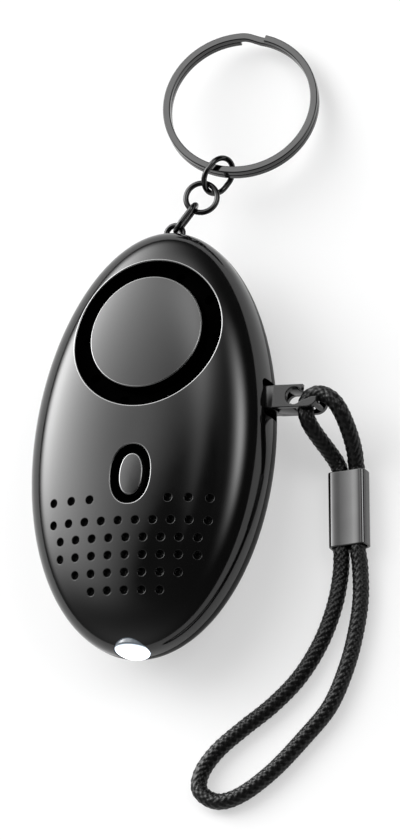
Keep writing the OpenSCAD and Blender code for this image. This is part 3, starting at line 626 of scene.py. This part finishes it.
def rear_shell(dome, materials):
    sheet = Sheet()
    (p, n, d, w, depth), counts = case_edge(dome, -1)
    c, s = circle(40)
    screw_round = 0.15
    reach = SCREW_HOLE_R + screw_round
    holes = [dome.at(side * BOSS_X + reach * c, BOSS_Y + reach * s) for side in (-1, 1)]
    flat_c, flat_s = circle(120)
    flat_r = dome.r_at(PART_Z) * 1.0005
    y = HALF_L * flat_r * flat_s
    crease = dome.at(dome.width(y) * flat_r * flat_c, y)
    rings = cover(sheet, dome, p, holes, [crease])
    # Wall slot 1 paints shade on the walls of the parting edge and the notch.
    edge = roll(sheet, rings[0], p, n, d, w, EDGE_ROUND, depth, wall_slot=1)
    pocket(sheet, edge[-counts[3]:])
    for ring, q, side in zip(rings[1:], holes, (-1, 1)):
        n = dome.normal(q)
        d = tangent(n, -np.stack([c, s, 0 * c], 1))
        seat = PART_Z - SCREW_SEAT_Z
        bottom = roll(sheet, ring, q, n, d, (0, 0, -1), screw_round, q[:, 2] - seat)
        floor = sheet.add(sheet.at(bottom), (0, 0, 1))
        sheet.fan(floor, (side * BOSS_X, BOSS_Y, seat), (0, 0, 1))
    sheet.move(ON_PLANE @ Matrix.Diagonal((1, 1, -1, 1)))
    show(sheet, "case_rear", materials, "housing", "rear_shell")


def sounder_cap(dome, materials):
    sheet = Sheet()
    edge_round, count = 0.25, 160
    levels = []
    for share in (0.05, 0.2, 0.35, 0.5, 0.65, 0.8, 0.92, 1):
        p, away, rise = sounder_points(dome, share * (CAP_R - edge_round), count)
        n = dome.normal(p)
        levels.append((p, n))
    rings = sheet.loft(levels)
    middle = levels[0][0].mean(0)
    sheet.fan(rings[0], middle, dome.normal(middle[None])[0])
    # The cap's side takes slot 1, painted shade; its rounded edge takes slot 2, a painted highlight.
    roll(sheet, rings[-1], p, n, tangent(n, away), -SOUNDER_AXIS, edge_round, rise + GROOVE_FLOOR,
         wall_slot=1, round_slot=2)
    sheet.move(ON_PLANE)
    show(sheet, "sounder_disc", materials, "housing", "sounder_cap")


def torch_button(materials):
    sheet = Sheet()
    edge_round, crown, depth = 0.3, 0.1, 2.6
    top = FRONT_H - BUTTON_SINK
    levels = []
    for share in (0.1, 0.4, 0.7, 0.9, 1):
        outline, out = button_outline(-edge_round, share)
        p = raised(outline, top - crown * share ** 2)
        n = unit(raised(out * 2 * crown * share / BUTTON_R, 1))
        levels.append((p, n))
    rings = sheet.loft(levels)
    sheet.fan(rings[0], (0, 0, top), (0, 0, 1))
    # The key's rounded edge takes slot 1, a painted highlight.
    roll(sheet, rings[-1], p, n, tangent(n, raised(out)), (0, 0, -1), edge_round, depth, round_slot=1)
    sheet.move(Matrix.Translation((0, -BUTTON_Y, PART_Z)))
    show(sheet, "torch_key", materials, "torch_button", "torch_button")


def revolve(sheet, profile, normals, count):
    """Turns a profile of (radius, height) pairs round the Z axis, and returns its last ring."""
    round_z = np.stack(circle(count), 1)
    return sheet.loft((raised(r * round_z, z), raised(nr * round_z, nz))
                      for (r, z), (nr, nz) in zip(profile, normals))[-1]


def lamp_place():
    return Matrix.Translation((0, -LENS_RIM_Y, PART_Z + LAMP_RISE)) @ Matrix.Rotation(pi / 2 - LAMP_TILT, 4, "X")


def torch_lens(material):
    sheet = Sheet()
    ball = (LENS_R ** 2 + LENS_BULGE ** 2) / (2 * LENS_BULGE)
    half = asin(LENS_R / ball)
    turns = np.linspace(half, 0.02, 14)
    profile = [(LENS_R, -LENS_DEPTH), (LENS_R, 0)] + [(ball * sin(t), ball * (cos(t) - cos(half))) for t in turns]
    normals = [(1, 0), (1, 0)] + [(sin(t), cos(t)) for t in turns]
    ring = revolve(sheet, profile, normals, 64)
    sheet.fan(ring, (0, 0, LENS_BULGE), (0, 0, 1))
    sheet.move(lamp_place())
    show(sheet, "lamp_lens", [material], "housing", "torch_lens")


# Pull pin

def brim(sheet, loop, out, z, up, edge_round):
    """One rounded edge of a plate: the ring round its flat face and the ring on its side."""
    p = raised(loop - edge_round * out, z)
    n = np.array((0, 0, up))
    ring = sheet.add(p, n)
    return ring, roll(sheet, ring, p, n, raised(out), -n, edge_round, edge_round + 1e-4, 3)


def slab(sheet, outer, inner, low, high, edge_round):
    """A plate between two outlines with the same number of points, with rounded edges."""
    sides = ((outer, outward(outer)), (inner, -outward(inner)))
    walls = []
    for z, up in ((high, 1.0), (low, -1.0)):
        faces, ends = zip(*(brim(sheet, loop, out, z, up, edge_round) for loop, out in sides))
        sheet.bridge(*faces)
        walls.append(ends)
    for top, bottom in zip(*walls):
        sheet.bridge(top, bottom)


def plate(sheet, corners, low, high, edge_round, gap=0.25):
    """A plate with one outline, given anticlockwise, and rounded edges."""
    corners = np.asarray(corners, float)
    outline = []
    for a, b in zip(corners, np.roll(corners, -1, 0)):
        count = max(int(np.linalg.norm(b - a) / gap), 1)
        outline += [a + (b - a) * i / count for i in range(count)]
    outline = np.array(outline)
    out = outward(outline)
    flat = outline - edge_round * out
    walls = []
    for z, up in ((high, 1.0), (low, -1.0)):
        ring, wall = brim(sheet, outline, out, z, up, edge_round)
        fill(sheet, ring, flat, [flat], 0)
        walls.append(wall)
    sheet.bridge(*walls)


def hook_outline():
    """The head's front plate: a hole that opens into a mouth above an arm."""
    half, end = HEAD_W / 2, HEAD_END_X - HEAD_W / 2
    tip = acos((ARM_END_X - end) / half)
    lip = MOUTH_X - HOOK_X - LIP_CUT
    opening = acos(lip / HOOK_R)
    nose = [(end + half * cos(t), half * sin(t)) for t in np.linspace(-pi / 2, -tip, 10)]
    arm = [(ARM_END_X, ARM_END_Y), ARM_ROOT]
    hole = [(HOOK_X + HOOK_R * cos(t), HOOK_R * sin(t)) for t in np.linspace(-opening, opening - 2 * pi, 40)]
    mouth = [(MOUTH_X, MOUTH_Y), (MOUTH_X, half)]
    return [(PLATE_BACK_X, -half), *nose, *arm, *hole, *mouth, (PLATE_BACK_X, half)]


def block(sheet, low, high, edge_round):
    """A box with rounded edges and corners."""
    low, high = np.array(low, float), np.array(high, float)
    bend = np.linspace(-pi / 4, pi / 4, 9)
    for axis in range(3):
        u, v = (axis + 1) % 3, (axis + 2) % 3
        for sign in (-1, 1):
            a, b = np.meshgrid(np.tan(bend), np.tan(bend), indexing="ij")
            n = np.zeros((*a.shape, 3))
            n[..., axis], n[..., u], n[..., v] = sign, a, b
            flat = unit(n)
            core = np.where(n > 1e-9, high - edge_round, np.where(n < -1e-9, low + edge_round, (low + high) / 2))
            skin = core + edge_round * flat
            ids = np.array(sheet.add(skin.reshape(-1, 3), flat.reshape(-1, 3))).reshape(a.shape)
            for i in range(len(bend) - 1):
                for j in range(len(bend) - 1):
                    sheet.face((ids[i, j], ids[i + 1, j], ids[i + 1, j + 1], ids[i, j + 1]))


def prism(sheet, outline, low, high):
    """A straight-sided bar along Y with an outline in X and Z."""
    outline = np.array(outline, float)
    for i, a in enumerate(outline):
        b = outline[(i + 1) % len(outline)]
        n = unit(np.array((b[1] - a[1], 0, a[0] - b[0])))
        corners = [(a[0], low, a[1]), (b[0], low, b[1]), (b[0], high, b[1]), (a[0], high, a[1])]
        sheet.face(sheet.add(corners, n))
    for y, n in ((low, (0, -1, 0)), (high, (0, 1, 0))):
        sheet.face(sheet.add([(x, y, z) for x, z in outline], n))


def pull_pin(material):
    sheet = Sheet()
    prism(sheet, [
        (BLADE_TIP_X, -BLADE_T / 2), (HEAD_ROOT_X + 1, -BLADE_T / 2), (HEAD_ROOT_X + 1, BLADE_T / 2),
        (TAPER_X, BLADE_T / 2), (BLADE_TIP_X, BLADE_TIP_Z)], -BLADE_W / 2, BLADE_W / 2)
    half, deep, web_x = HEAD_W / 2, HEAD_DEPTH / 2, HEAD_NECK_X - 0.5
    root_round, edge_round, hook_round = 0.35, 0.16, 0.14
    block(sheet, (HEAD_ROOT_X, -half, -deep), (HEAD_NECK_X, half, deep), root_round)
    block(sheet, (web_x, WINDOW_H / 2, -deep), (WEB_END_X, half, deep), edge_round)
    block(sheet, (web_x, -half, -deep), (FOOT_END_X, -WINDOW_H / 2, deep), edge_round)
    window, _ = stadium(WINDOW_H / 2, WINDOW_LEN - WINDOW_H, 28)
    window = np.stack([window[:, 1], -window[:, 0]], 1)
    ray = unit(window)
    end, back = HEAD_END_X - half - WINDOW_X, PLATE_BACK_X - WINDOW_X
    reach = half / np.maximum(np.abs(ray[:, 1]), 1e-6)
    reach = np.where(ray[:, 0] < 0, np.minimum(reach, back / np.minimum(ray[:, 0], -1e-6)), reach)
    round_end = end * ray[:, 0] + np.sqrt(np.maximum(half ** 2 - (end * ray[:, 1]) ** 2, 0))
    reach = np.where(reach * ray[:, 0] > end, round_end, reach)
    outer = reach[:, None] * ray
    slab(sheet, outer + (WINDOW_X, 0), window + (WINDOW_X, 0), -deep, PLATE_T - deep, edge_round)
    plate(sheet, hook_outline(), deep - PLATE_T, deep, hook_round)
    bar, bar_end = Sheet(), deep - BAR_SHORT
    revolve(bar, [(BAR_D / 2, -bar_end), (BAR_D / 2, bar_end)], [(1, 0), (1, 0)], 28)
    sheet.join(bar.move(Matrix.Translation((BAR_X, -BAR_DROP, 0))))
    sheet.move(Matrix.Translation((0, PIN_Y, PART_Z)))
    show(sheet, "pin", [material], "pull_pin", "pull_pin")


# Key chain

def wire(sheet, path, r, closed, sides=20):
    """Round wire along a flat path in the XY plane."""
    path = np.asarray(path, float)
    if closed:
        along = np.roll(path, -1, 0) - np.roll(path, 1, 0)
    else:
        along = np.gradient(path, axis=0)
    out = unit(np.stack([along[:, 1], -along[:, 0], 0 * along[:, 0]], 1))
    c, s = circle(sides)
    levels = []
    for point, side in zip(path, out):
        n = c[:, None] * side + s[:, None] * (0, 0, 1)
        levels.append(((*point, 0) + r * n, n))
    rings = sheet.loft(levels)
    if closed:
        sheet.bridge(rings[-1], rings[0])


def oval(length, w, per_end=32):
    """The middle line of an oval link with one end at the origin and the other at x = length."""
    turn = np.linspace(-pi / 2, pi / 2, per_end)
    far = np.stack([length - w / 2 + w / 2 * np.cos(turn), w / 2 * np.sin(turn)], 1)
    near = np.stack([w / 2 - w / 2 * np.cos(turn), -w / 2 * np.sin(turn)], 1)
    return np.concatenate([far, near])


def chain_matrix(start, twist):
    origin = (EYE_W / 2 * cos(CHAIN_HEADING), EYE_Y - EYE_W / 2 * (1 - sin(CHAIN_HEADING)), PART_Z)
    return (Matrix.Translation(origin) @ Matrix.Rotation(CHAIN_HEADING, 4, "Z")
            @ Matrix.Rotation(CHAIN_DROP, 4, "Y") @ Matrix.Translation((start, 0, 0))
            @ Matrix.Rotation(twist, 4, "X"))


def key_chain(material):
    sheet = Sheet()
    turn_y = EYE_Y - EYE_W / 2
    turn = np.linspace(0, pi, 33)
    arc = np.stack([EYE_W / 2 * np.cos(turn), turn_y + EYE_W / 2 * np.sin(turn)], 1)
    foot = HALF_L - 3
    wire(sheet, [(EYE_W / 2, foot), *arc, (-EYE_W / 2, foot)], WIRE_R, False)
    sheet.move(ON_PLANE)
    show(sheet, "eyelet", [material], "housing", "key_eyelet")

    step = 2 * WIRE_R + CHAIN_GAP
    start_2 = -step + LINK_1[0] - step
    start_3 = start_2 + LINK_2_D - step
    links = (
        ("1", oval(*LINK_1), chain_matrix(-step, pi / 2 + LINK_TWIST[0])),
        ("2", oval(LINK_2_D, LINK_2_D), chain_matrix(start_2, LINK_TWIST[1])),
        ("3", oval(*LINK_3), chain_matrix(start_3, pi / 2 + LINK_TWIST[2])),
    )
    for label, path, where in links:
        sheet = Sheet()
        keep = np.linalg.norm(path - np.roll(path, 1, 0), axis=1) > 1e-6
        wire(sheet, path[keep], WIRE_R, True)
        show(sheet.move(where), "link_" + label, [material], "chain_link_" + label, "chain_link_" + label)
    split_ring(material, chain_matrix(start_3 + LINK_3[0] - RING_INSET, 0).translation)


def split_ring(material, hang):
    """Two turns of square wire that hang from a point on the last link, with one step between them."""
    middle_r = (RING_D - RING_WIRE_W) / 2
    where = Matrix.Translation(hang)
    for angle, axis in ((RING_HEADING, "Z"), (RING_TILT, "Y"), (RING_ROLL, "X")):
        where = where @ Matrix.Rotation(angle, 4, axis)
    where = where @ Matrix.Translation((middle_r, 0, 0)) @ Matrix.Rotation(RAMP_TURN - RING_HEADING, 4, "Z")
    sheet = Sheet()
    corner, step = 0.2, 2
    bend = np.linspace(0, pi / 2, 5)
    section, section_n = [], []
    for quarter, (sx, sz) in enumerate(((1, 1), (-1, 1), (-1, -1), (1, -1))):
        for t in bend + quarter * pi / 2:
            x, z = sx * (RING_WIRE_W / 2 - corner), sz * (COIL_H / 2 - corner)
            section.append((x + corner * cos(t), z + corner * sin(t)))
            section_n.append((cos(t), sin(t)))
    section, section_n = np.array(section), np.array(section_n)
    levels = []
    for turn in np.radians(np.arange(COIL_START, COIL_STOP + 0.1, step)):
        climb = np.clip((degrees(turn) - CLIMB_START) / CLIMB_LEN, 0, 1)
        z = (COIL_GAP + COIL_H) * (climb * climb * (3 - 2 * climb) - 0.5)
        out = np.array((cos(turn), sin(turn), 0))
        p = (middle_r + section[:, :1]) * out + (section[:, 1:] + z) * (0, 0, 1)
        levels.append((p, section_n[:, :1] * out + section_n[:, 1:] * (0, 0, 1)))
    rings = sheet.loft(levels)
    for end, turn, way in ((rings[0], radians(COIL_START), -1), (rings[-1], radians(COIL_STOP), 1)):
        face = way * np.array((-sin(turn), cos(turn), 0))
        sheet.face(sheet.add(sheet.at(end), face))
    show(sheet.move(where), "key_ring", [material], "split_ring", "split_ring")


# Wrist cord and ferrule

def smooth_route(steps):
    route = np.array(CORD_ROUTE) / MM
    padded = np.concatenate([route[:1], route, route[-1:]])
    share = np.arange(steps)[:, None] / steps
    line = [
        0.5 * (2 * b + (c - a) * share + (2 * a - 5 * b + 4 * c - d) * share ** 2
               + (3 * b - a - 3 * c + d) * share ** 3)
        for a, b, c, d in zip(padded, padded[1:], padded[2:], padded[3:])
    ]
    return np.concatenate([*line, route[-1:]])


def evenly(line, gap):
    run = np.append(0, np.cumsum(np.linalg.norm(np.diff(line, axis=0), axis=1)))
    at = np.linspace(0, run[-1], int(run[-1] / gap))
    return np.stack([np.interp(at, run, line[:, k]) for k in range(3)], 1), at


def wrist_cord(material):
    """A braided tube: two sets of strands wind opposite ways and pass over and under each other."""
    line, run = evenly(smooth_route(12), 0.22)
    sides, strands, pitch, relief = 48, 8, 1.25, 0.24
    along = unit(np.gradient(line, axis=0))
    side = unit(np.cross(along[0], (0, 0, 1)))
    turn = 2 * pi * np.arange(sides) / sides
    sheet = Sheet()
    heights, levels = [], []
    for point, ahead, at in zip(line, along, run):
        side = unit(side - (side @ ahead) * ahead)
        up = np.cross(side, ahead)
        n = np.cos(turn)[:, None] * side + np.sin(turn)[:, None] * up
        winds = np.array([strands * turn / (2 * pi) + way * at / pitch for way in (1, -1)])
        crowns = 1 - (2 * (winds % 1) - 1) ** 2
        over = np.floor(winds).sum(0) % 2 == 0
        upper, lower = np.where(over, crowns, crowns[::-1])
        height = upper ** 0.7 * lower ** 0.3
        levels.append((point + (CORD_D / 2 - relief * (1 - height))[:, None] * n, n))
        heights.append(height)
    sheet.loft(levels)
    mesh = make_mesh(sheet, "braid", [material])
    level = mesh.attributes.new("braid_height", "FLOAT", "POINT")
    level.data.foreach_set("value", np.concatenate(heights).astype(np.float32))
    cord = place(mesh, "braided_cord", "pull_pin", "wrist_cord")
    return cord


def dished(a, b, dish, count=96):
    """The ferrule's crimped outline: a squarish oval whose broad faces are a little hollow."""
    outline, _ = rounded(a, b, 4.2, count)
    outline[:, 0] *= 1 - dish * (1 - (outline[:, 1] / b) ** 2)
    return outline, outward(outline)


def make_ferrule(material):
    sheet = Sheet()
    channel = CORD_D / 2 + 0.05
    lip = 0.2
    bend = np.linspace(0, pi / 2, 5)
    stations = [(None, lip + 2, -1, 0), (None, lip, -1, 0)]
    stations += [(lip - lip * sin(t), lip - lip * cos(t), sin(t), -cos(t)) for t in bend]
    stations += [(lip - lip * cos(t), FERRULE_LEN - lip + lip * sin(t), cos(t), sin(t)) for t in bend]
    stations += [(None, FERRULE_LEN - lip, -1, 0), (None, FERRULE_LEN - lip - 2, -1, 0)]
    levels = []
    for inset, y, nr, ny in stations:
        if inset is None:
            outline, out = stadium(channel, 2 * channel, 48)
        else:
            outline, out = dished(FERRULE_T / 2 - inset, 2 * channel + FERRULE_WALL - inset, 0.2)
        p = np.stack([outline[:, 1], np.full(len(outline), -y), outline[:, 0]], 1)
        levels.append((p, np.stack([nr * out[:, 1], np.full(len(out), -ny), nr * out[:, 0]], 1)))
    sheet.loft(levels)
    sheet.move(Matrix.Translation(FERRULE) @ Matrix.Rotation(FERRULE_HEADING, 4, "Z"))
    return show(sheet, "cord_ferrule", [material], "pull_pin", "ferrule")


# Materials

def put(tree, node, inputs):
    """Sets the node's inputs to values, or links them to the outputs of other nodes."""
    for name, value in inputs.items():
        if isinstance(value, bpy.types.NodeSocket):
            tree.links.new(value, node.inputs[name])
        else:
            node.inputs[name].default_value = value


def add(tree, kind, inputs=(), **values):
    made = tree.nodes.new(kind)
    for name, value in values.items():
        setattr(made, name, value)
    put(tree, made, dict(inputs))
    return made


def grain(tree, scale):
    where = add(tree, "ShaderNodeTexCoord").outputs["Object"]
    return add(tree, "ShaderNodeTexNoise", {"Scale": scale, "Detail": 3.0, "Vector": where}).outputs["Fac"]


def between(tree, factor, low, high):
    """A number that goes from low to high as the factor goes from 0.3 to 0.7."""
    inputs = {"From Min": 0.3, "From Max": 0.7, "To Min": low, "To Max": high, "Value": factor}
    return add(tree, "ShaderNodeMapRange", inputs).outputs["Result"]


def tint(tree, factor, dark, light):
    inputs = {6: (*dark, 1), 7: (*light, 1), "Factor": factor}
    return add(tree, "ShaderNodeMix", inputs, data_type="RGBA").outputs[2]


def bumped(tree, height, strength, distance):
    inputs = {"Strength": strength, "Distance": distance, "Height": height}
    return add(tree, "ShaderNodeBump", inputs).outputs["Normal"]


def blank(name):
    material = bpy.data.materials.new(name)
    material.use_nodes = True
    return material, material.node_tree, material.node_tree.nodes["Principled BSDF"]


def surface(name, dark, light, rough, scale=250, relief=0.0, **inputs):
    """A material whose colour, roughness and relief follow a fine grain."""
    material, tree, shader = blank(name)
    noise = grain(tree, scale)
    put(tree, shader, {"Base Color": tint(tree, noise, dark, light), "Roughness": between(tree, noise, *rough)})
    put(tree, shader, {label.replace("_", " "): value for label, value in inputs.items()})
    if relief:
        put(tree, shader, {"Normal": bumped(tree, grain(tree, 8 * scale), 0.3, relief)})
    return material


def grey(value):
    return (value, value, value)


def glowing(name):
    """The lit lens: white in the middle, cooler towards its rim and dim on its side."""
    material = surface(name, (0.8, 0.84, 0.9), (0.9, 0.93, 0.97), (0.04, 0.08))
    tree = material.node_tree
    shader = tree.nodes["Principled BSDF"]
    where = add(tree, "ShaderNodeTexCoord").outputs["Object"]
    middle = lamp_place() @ Vector((0, -0.7, LENS_BULGE)) * MM
    apart = add(tree, "ShaderNodeVectorMath", {0: where, 1: middle}, operation="DISTANCE").outputs["Value"]
    rim = step_up(tree, apart, 1.5 * MM, 3.6 * MM)
    side = step_up(tree, apart, 3.3 * MM, 3.8 * MM)
    put(tree, shader, {
        "Emission Color": tint(tree, rim, (1, 1, 1), (0.6, 0.7, 0.82)),
        "Base Color": tint(tree, side, (0.85, 0.88, 0.93), (0.1, 0.11, 0.12)),
        "Emission Strength": number(tree, "SUBTRACT", 2.5, times(tree, side, 2.4)),
    })
    return material


def braid(name):
    material, tree, shader = blank(name)
    height = add(tree, "ShaderNodeAttribute", attribute_name="braid_height").outputs["Fac"]
    # Painted shade and highlight: the colour follows the braid's height, darker in the gaps between the strands
    # and lighter on their crowns.
    put(tree, shader, {
        "Roughness": 0.28, "Specular IOR Level": 0.25,
        "Base Color": tint(tree, height, grey(0.0005), grey(0.008)),
        "Normal": bumped(tree, grain(tree, 6000), 0.5, 0.00005),
    })
    return material


# World and floor

def number(tree, operation, *values, clamp=False):
    return add(tree, "ShaderNodeMath", dict(enumerate(values)), operation=operation, use_clamp=clamp).outputs[0]


def times(tree, a, b):
    return number(tree, "MULTIPLY", a, b)


def hump(tree, value, middle, spread):
    """1 at the middle, falling off on both sides."""
    off = number(tree, "DIVIDE", number(tree, "SUBTRACT", value, middle), spread)
    square = times(tree, off, off)
    return number(tree, "POWER", 2.718, times(tree, square, -0.5))


def step_up(tree, value, low, high):
    inputs = {"From Min": low, "From Max": high, "Value": value}
    return add(tree, "ShaderNodeMapRange", inputs, interpolation_type="SMOOTHSTEP").outputs["Result"]


def bearing(tree, x, y, heading):
    """Degrees round from a heading, from -180 to 180."""
    c, s = cos(radians(heading)), sin(radians(heading))
    ahead = number(tree, "ADD", times(tree, x, c), times(tree, y, s))
    left = number(tree, "SUBTRACT", times(tree, y, c), times(tree, x, s))
    return number(tree, "DEGREES", number(tree, "ARCTAN2", left, ahead))


def seen(tree):
    """1 for rays from the camera, off a glossy surface or through a clear one, and 0 for those that light."""
    rays = add(tree, "ShaderNodeLightPath")
    found = number(tree, "MAXIMUM", rays.outputs["Is Camera Ray"], rays.outputs["Is Glossy Ray"])
    return number(tree, "MAXIMUM", found, rays.outputs["Is Transmission Ray"])


def make_world():
    """A dark studio: a tall soft panel on the left, a strip on the right, and a little light behind and in front.

    Below the horizon it is as pale as the floor, which it carries on past the floor's edge.
    """
    world = bpy.data.worlds.new("studio")
    bpy.context.scene.world = world
    world.use_nodes = True
    tree = world.node_tree
    where = add(tree, "ShaderNodeTexCoord").outputs["Generated"]
    x, y, z = add(tree, "ShaderNodeSeparateXYZ", {0: where}).outputs
    rise = number(tree, "DEGREES", number(tree, "ARCSINE", z))
    panel_top, panel_span, panel_heading, dim, floor_tone = 73, 52, 155, 0.06, 0.92
    fall = number(tree, "DIVIDE", number(tree, "SUBTRACT", panel_top, rise), panel_span, clamp=True)
    panel = times(tree, number(tree, "POWER", fall, 1.3), step_up(tree, rise, 2, 16))
    level = number(tree, "SQRT", number(tree, "SUBTRACT", 1, times(tree, z, z)))
    turn = times(tree, bearing(tree, x, y, panel_heading), level)
    aside = number(tree, "MAXIMUM", number(tree, "DIVIDE", turn, 13.5), number(tree, "DIVIDE", turn, -21))
    # Strength, spread up and down, spread to the sides
    lights = (
        (13.0, panel, hump(tree, aside, 0, 1)),
        (6.5, hump(tree, rise, 45, 6), hump(tree, bearing(tree, x, y, 26), 0, 16)),
        (3.2, hump(tree, rise, 56, 12), hump(tree, bearing(tree, x, y, 97), 0, 13)),
        (0.5, hump(tree, rise, 25, 22), hump(tree, bearing(tree, x, y, -115), 0, 30)),
    )
    total = dim
    for strength, height, width in lights:
        lit = times(tree, times(tree, height, width), strength)
        total = number(tree, "ADD", lit, total)
    below = times(tree, number(tree, "LESS_THAN", rise, 0), seen(tree))
    total = number(tree, "ADD", total, times(tree, below, floor_tone))
    put(tree, tree.nodes["Background"], {"Strength": total, "Color": (1, 1, 1, 1)})


def make_floor():
    half = 3.0
    mesh = bpy.data.meshes.new("floor")
    corners = [(-half, -half, 0), (half, -half, 0), (half, half, 0), (-half, half, 0)]
    mesh.from_pydata(corners, [], [(0, 1, 2, 3)])
    floor = link("floor", mesh)
    material, tree, shader = blank("floor")
    put(tree, shader, {
        "Roughness": 1, "Specular IOR Level": 0, "Emission Color": (1, 1, 1, 1),
        "Base Color": tint(tree, grain(tree, 12), grey(0.41), grey(0.43)),
        "Emission Strength": times(tree, seen(tree), 0.5),
    })
    mesh.materials.append(material)


make_camera()
steel = surface("black_nickel", grey(0.04), grey(0.05), (0.06, 0.1), Metallic=1.0)
ferrule = make_ferrule(surface("pale_nickel", grey(0.09), grey(0.11), (0.06, 0.1), Metallic=1.0))
wrist_cord(braid("black_braid"))

gloss = surface("gloss_black", grey(0.0015), grey(0.0025), (0.08, 0.12))
satin = surface("satin_black", grey(0.010), grey(0.014), (0.16, 0.22))
# Painted shade: a flat black with no reflection, for the walls and floors of recesses.
deep = surface("painted_recess_shade", grey(0.0005), grey(0.001), (0.75, 0.85), Specular_IOR_Level=0.0)
matt = surface("matt_black", grey(0.0015), grey(0.0025), (0.28, 0.34), Specular_IOR_Level=0.05)
# Painted highlight: the same black with a much stronger reflection, for the thin rounded edges round the groove,
# cap, well and key.
painted_edge_highlight = surface("painted_highlight_edge", grey(0.0015), grey(0.0025), (0.16, 0.2), Specular_IOR_Level=1.0, IOR=1.9)
front, rear = Dome(FRONT_H, FRONT_P, FRONT_Q), Dome(REAR_H, REAR_P, REAR_Q, PART_Z)
# In each list the flat black paints recess shade and the strongly reflecting black paints edge highlights.
front_shell(front, [gloss, deep, painted_edge_highlight])
rear_shell(rear, [matt, deep])
sounder_cap(front, [gloss, deep, painted_edge_highlight])
torch_button([satin, painted_edge_highlight])
torch_lens(glowing("lit_lens"))
pull_pin(satin)
key_chain(steel)

tin = surface("tin_plate", (0.55, 0.55, 0.53), (0.66, 0.66, 0.64), (0.25, 0.4), Metallic=1.0)
brass = surface("brass", (0.62, 0.43, 0.16), (0.72, 0.52, 0.22), (0.22, 0.35), Metallic=1.0)
ceramic = surface("ceramic", (0.66, 0.64, 0.58), (0.74, 0.72, 0.66), (0.4, 0.55))
board = surface("green_board", (0.012, 0.10, 0.035), (0.02, 0.14, 0.05), (0.3, 0.42))
chip = surface("chip_resin", grey(0.02), grey(0.035), (0.5, 0.65), relief=0.00002)
rubber = surface("foam_rubber", grey(0.03), grey(0.05), (0.75, 0.9), relief=0.00004)
clear = surface("lamp_resin", (0.7, 0.74, 0.78), (0.8, 0.84, 0.86), (0.1, 0.2))
sleeve = surface("wire_sleeve", (0.03, 0.01, 0.01), (0.20, 0.015, 0.015), (0.4, 0.5))
inner = (
    (tin, "case_screws cell_1 cell_2 cell_3 positive_contact negative_contact"),
    (brass, "sounder_plate pin_contact_rest pin_contact_post pin_contact_leaf"),
    (chip, "switch_body switch_plunger driver_chip boost_coil power_transistor chip_resistors"),
    (sleeve, "sounder_leads lamp_leads"), (rubber, "sounder_gasket"), (ceramic, "sounder_ceramic"),
    (board, "circuit_board"), (clear, "torch_lamp"),
)
for material, names in inner:
    for name in names.split():
        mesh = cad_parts[name].data
        mesh.materials.clear()
        mesh.materials.append(material)

make_world()
make_floor()
bpy.context.scene.view_settings.view_transform = "Standard"
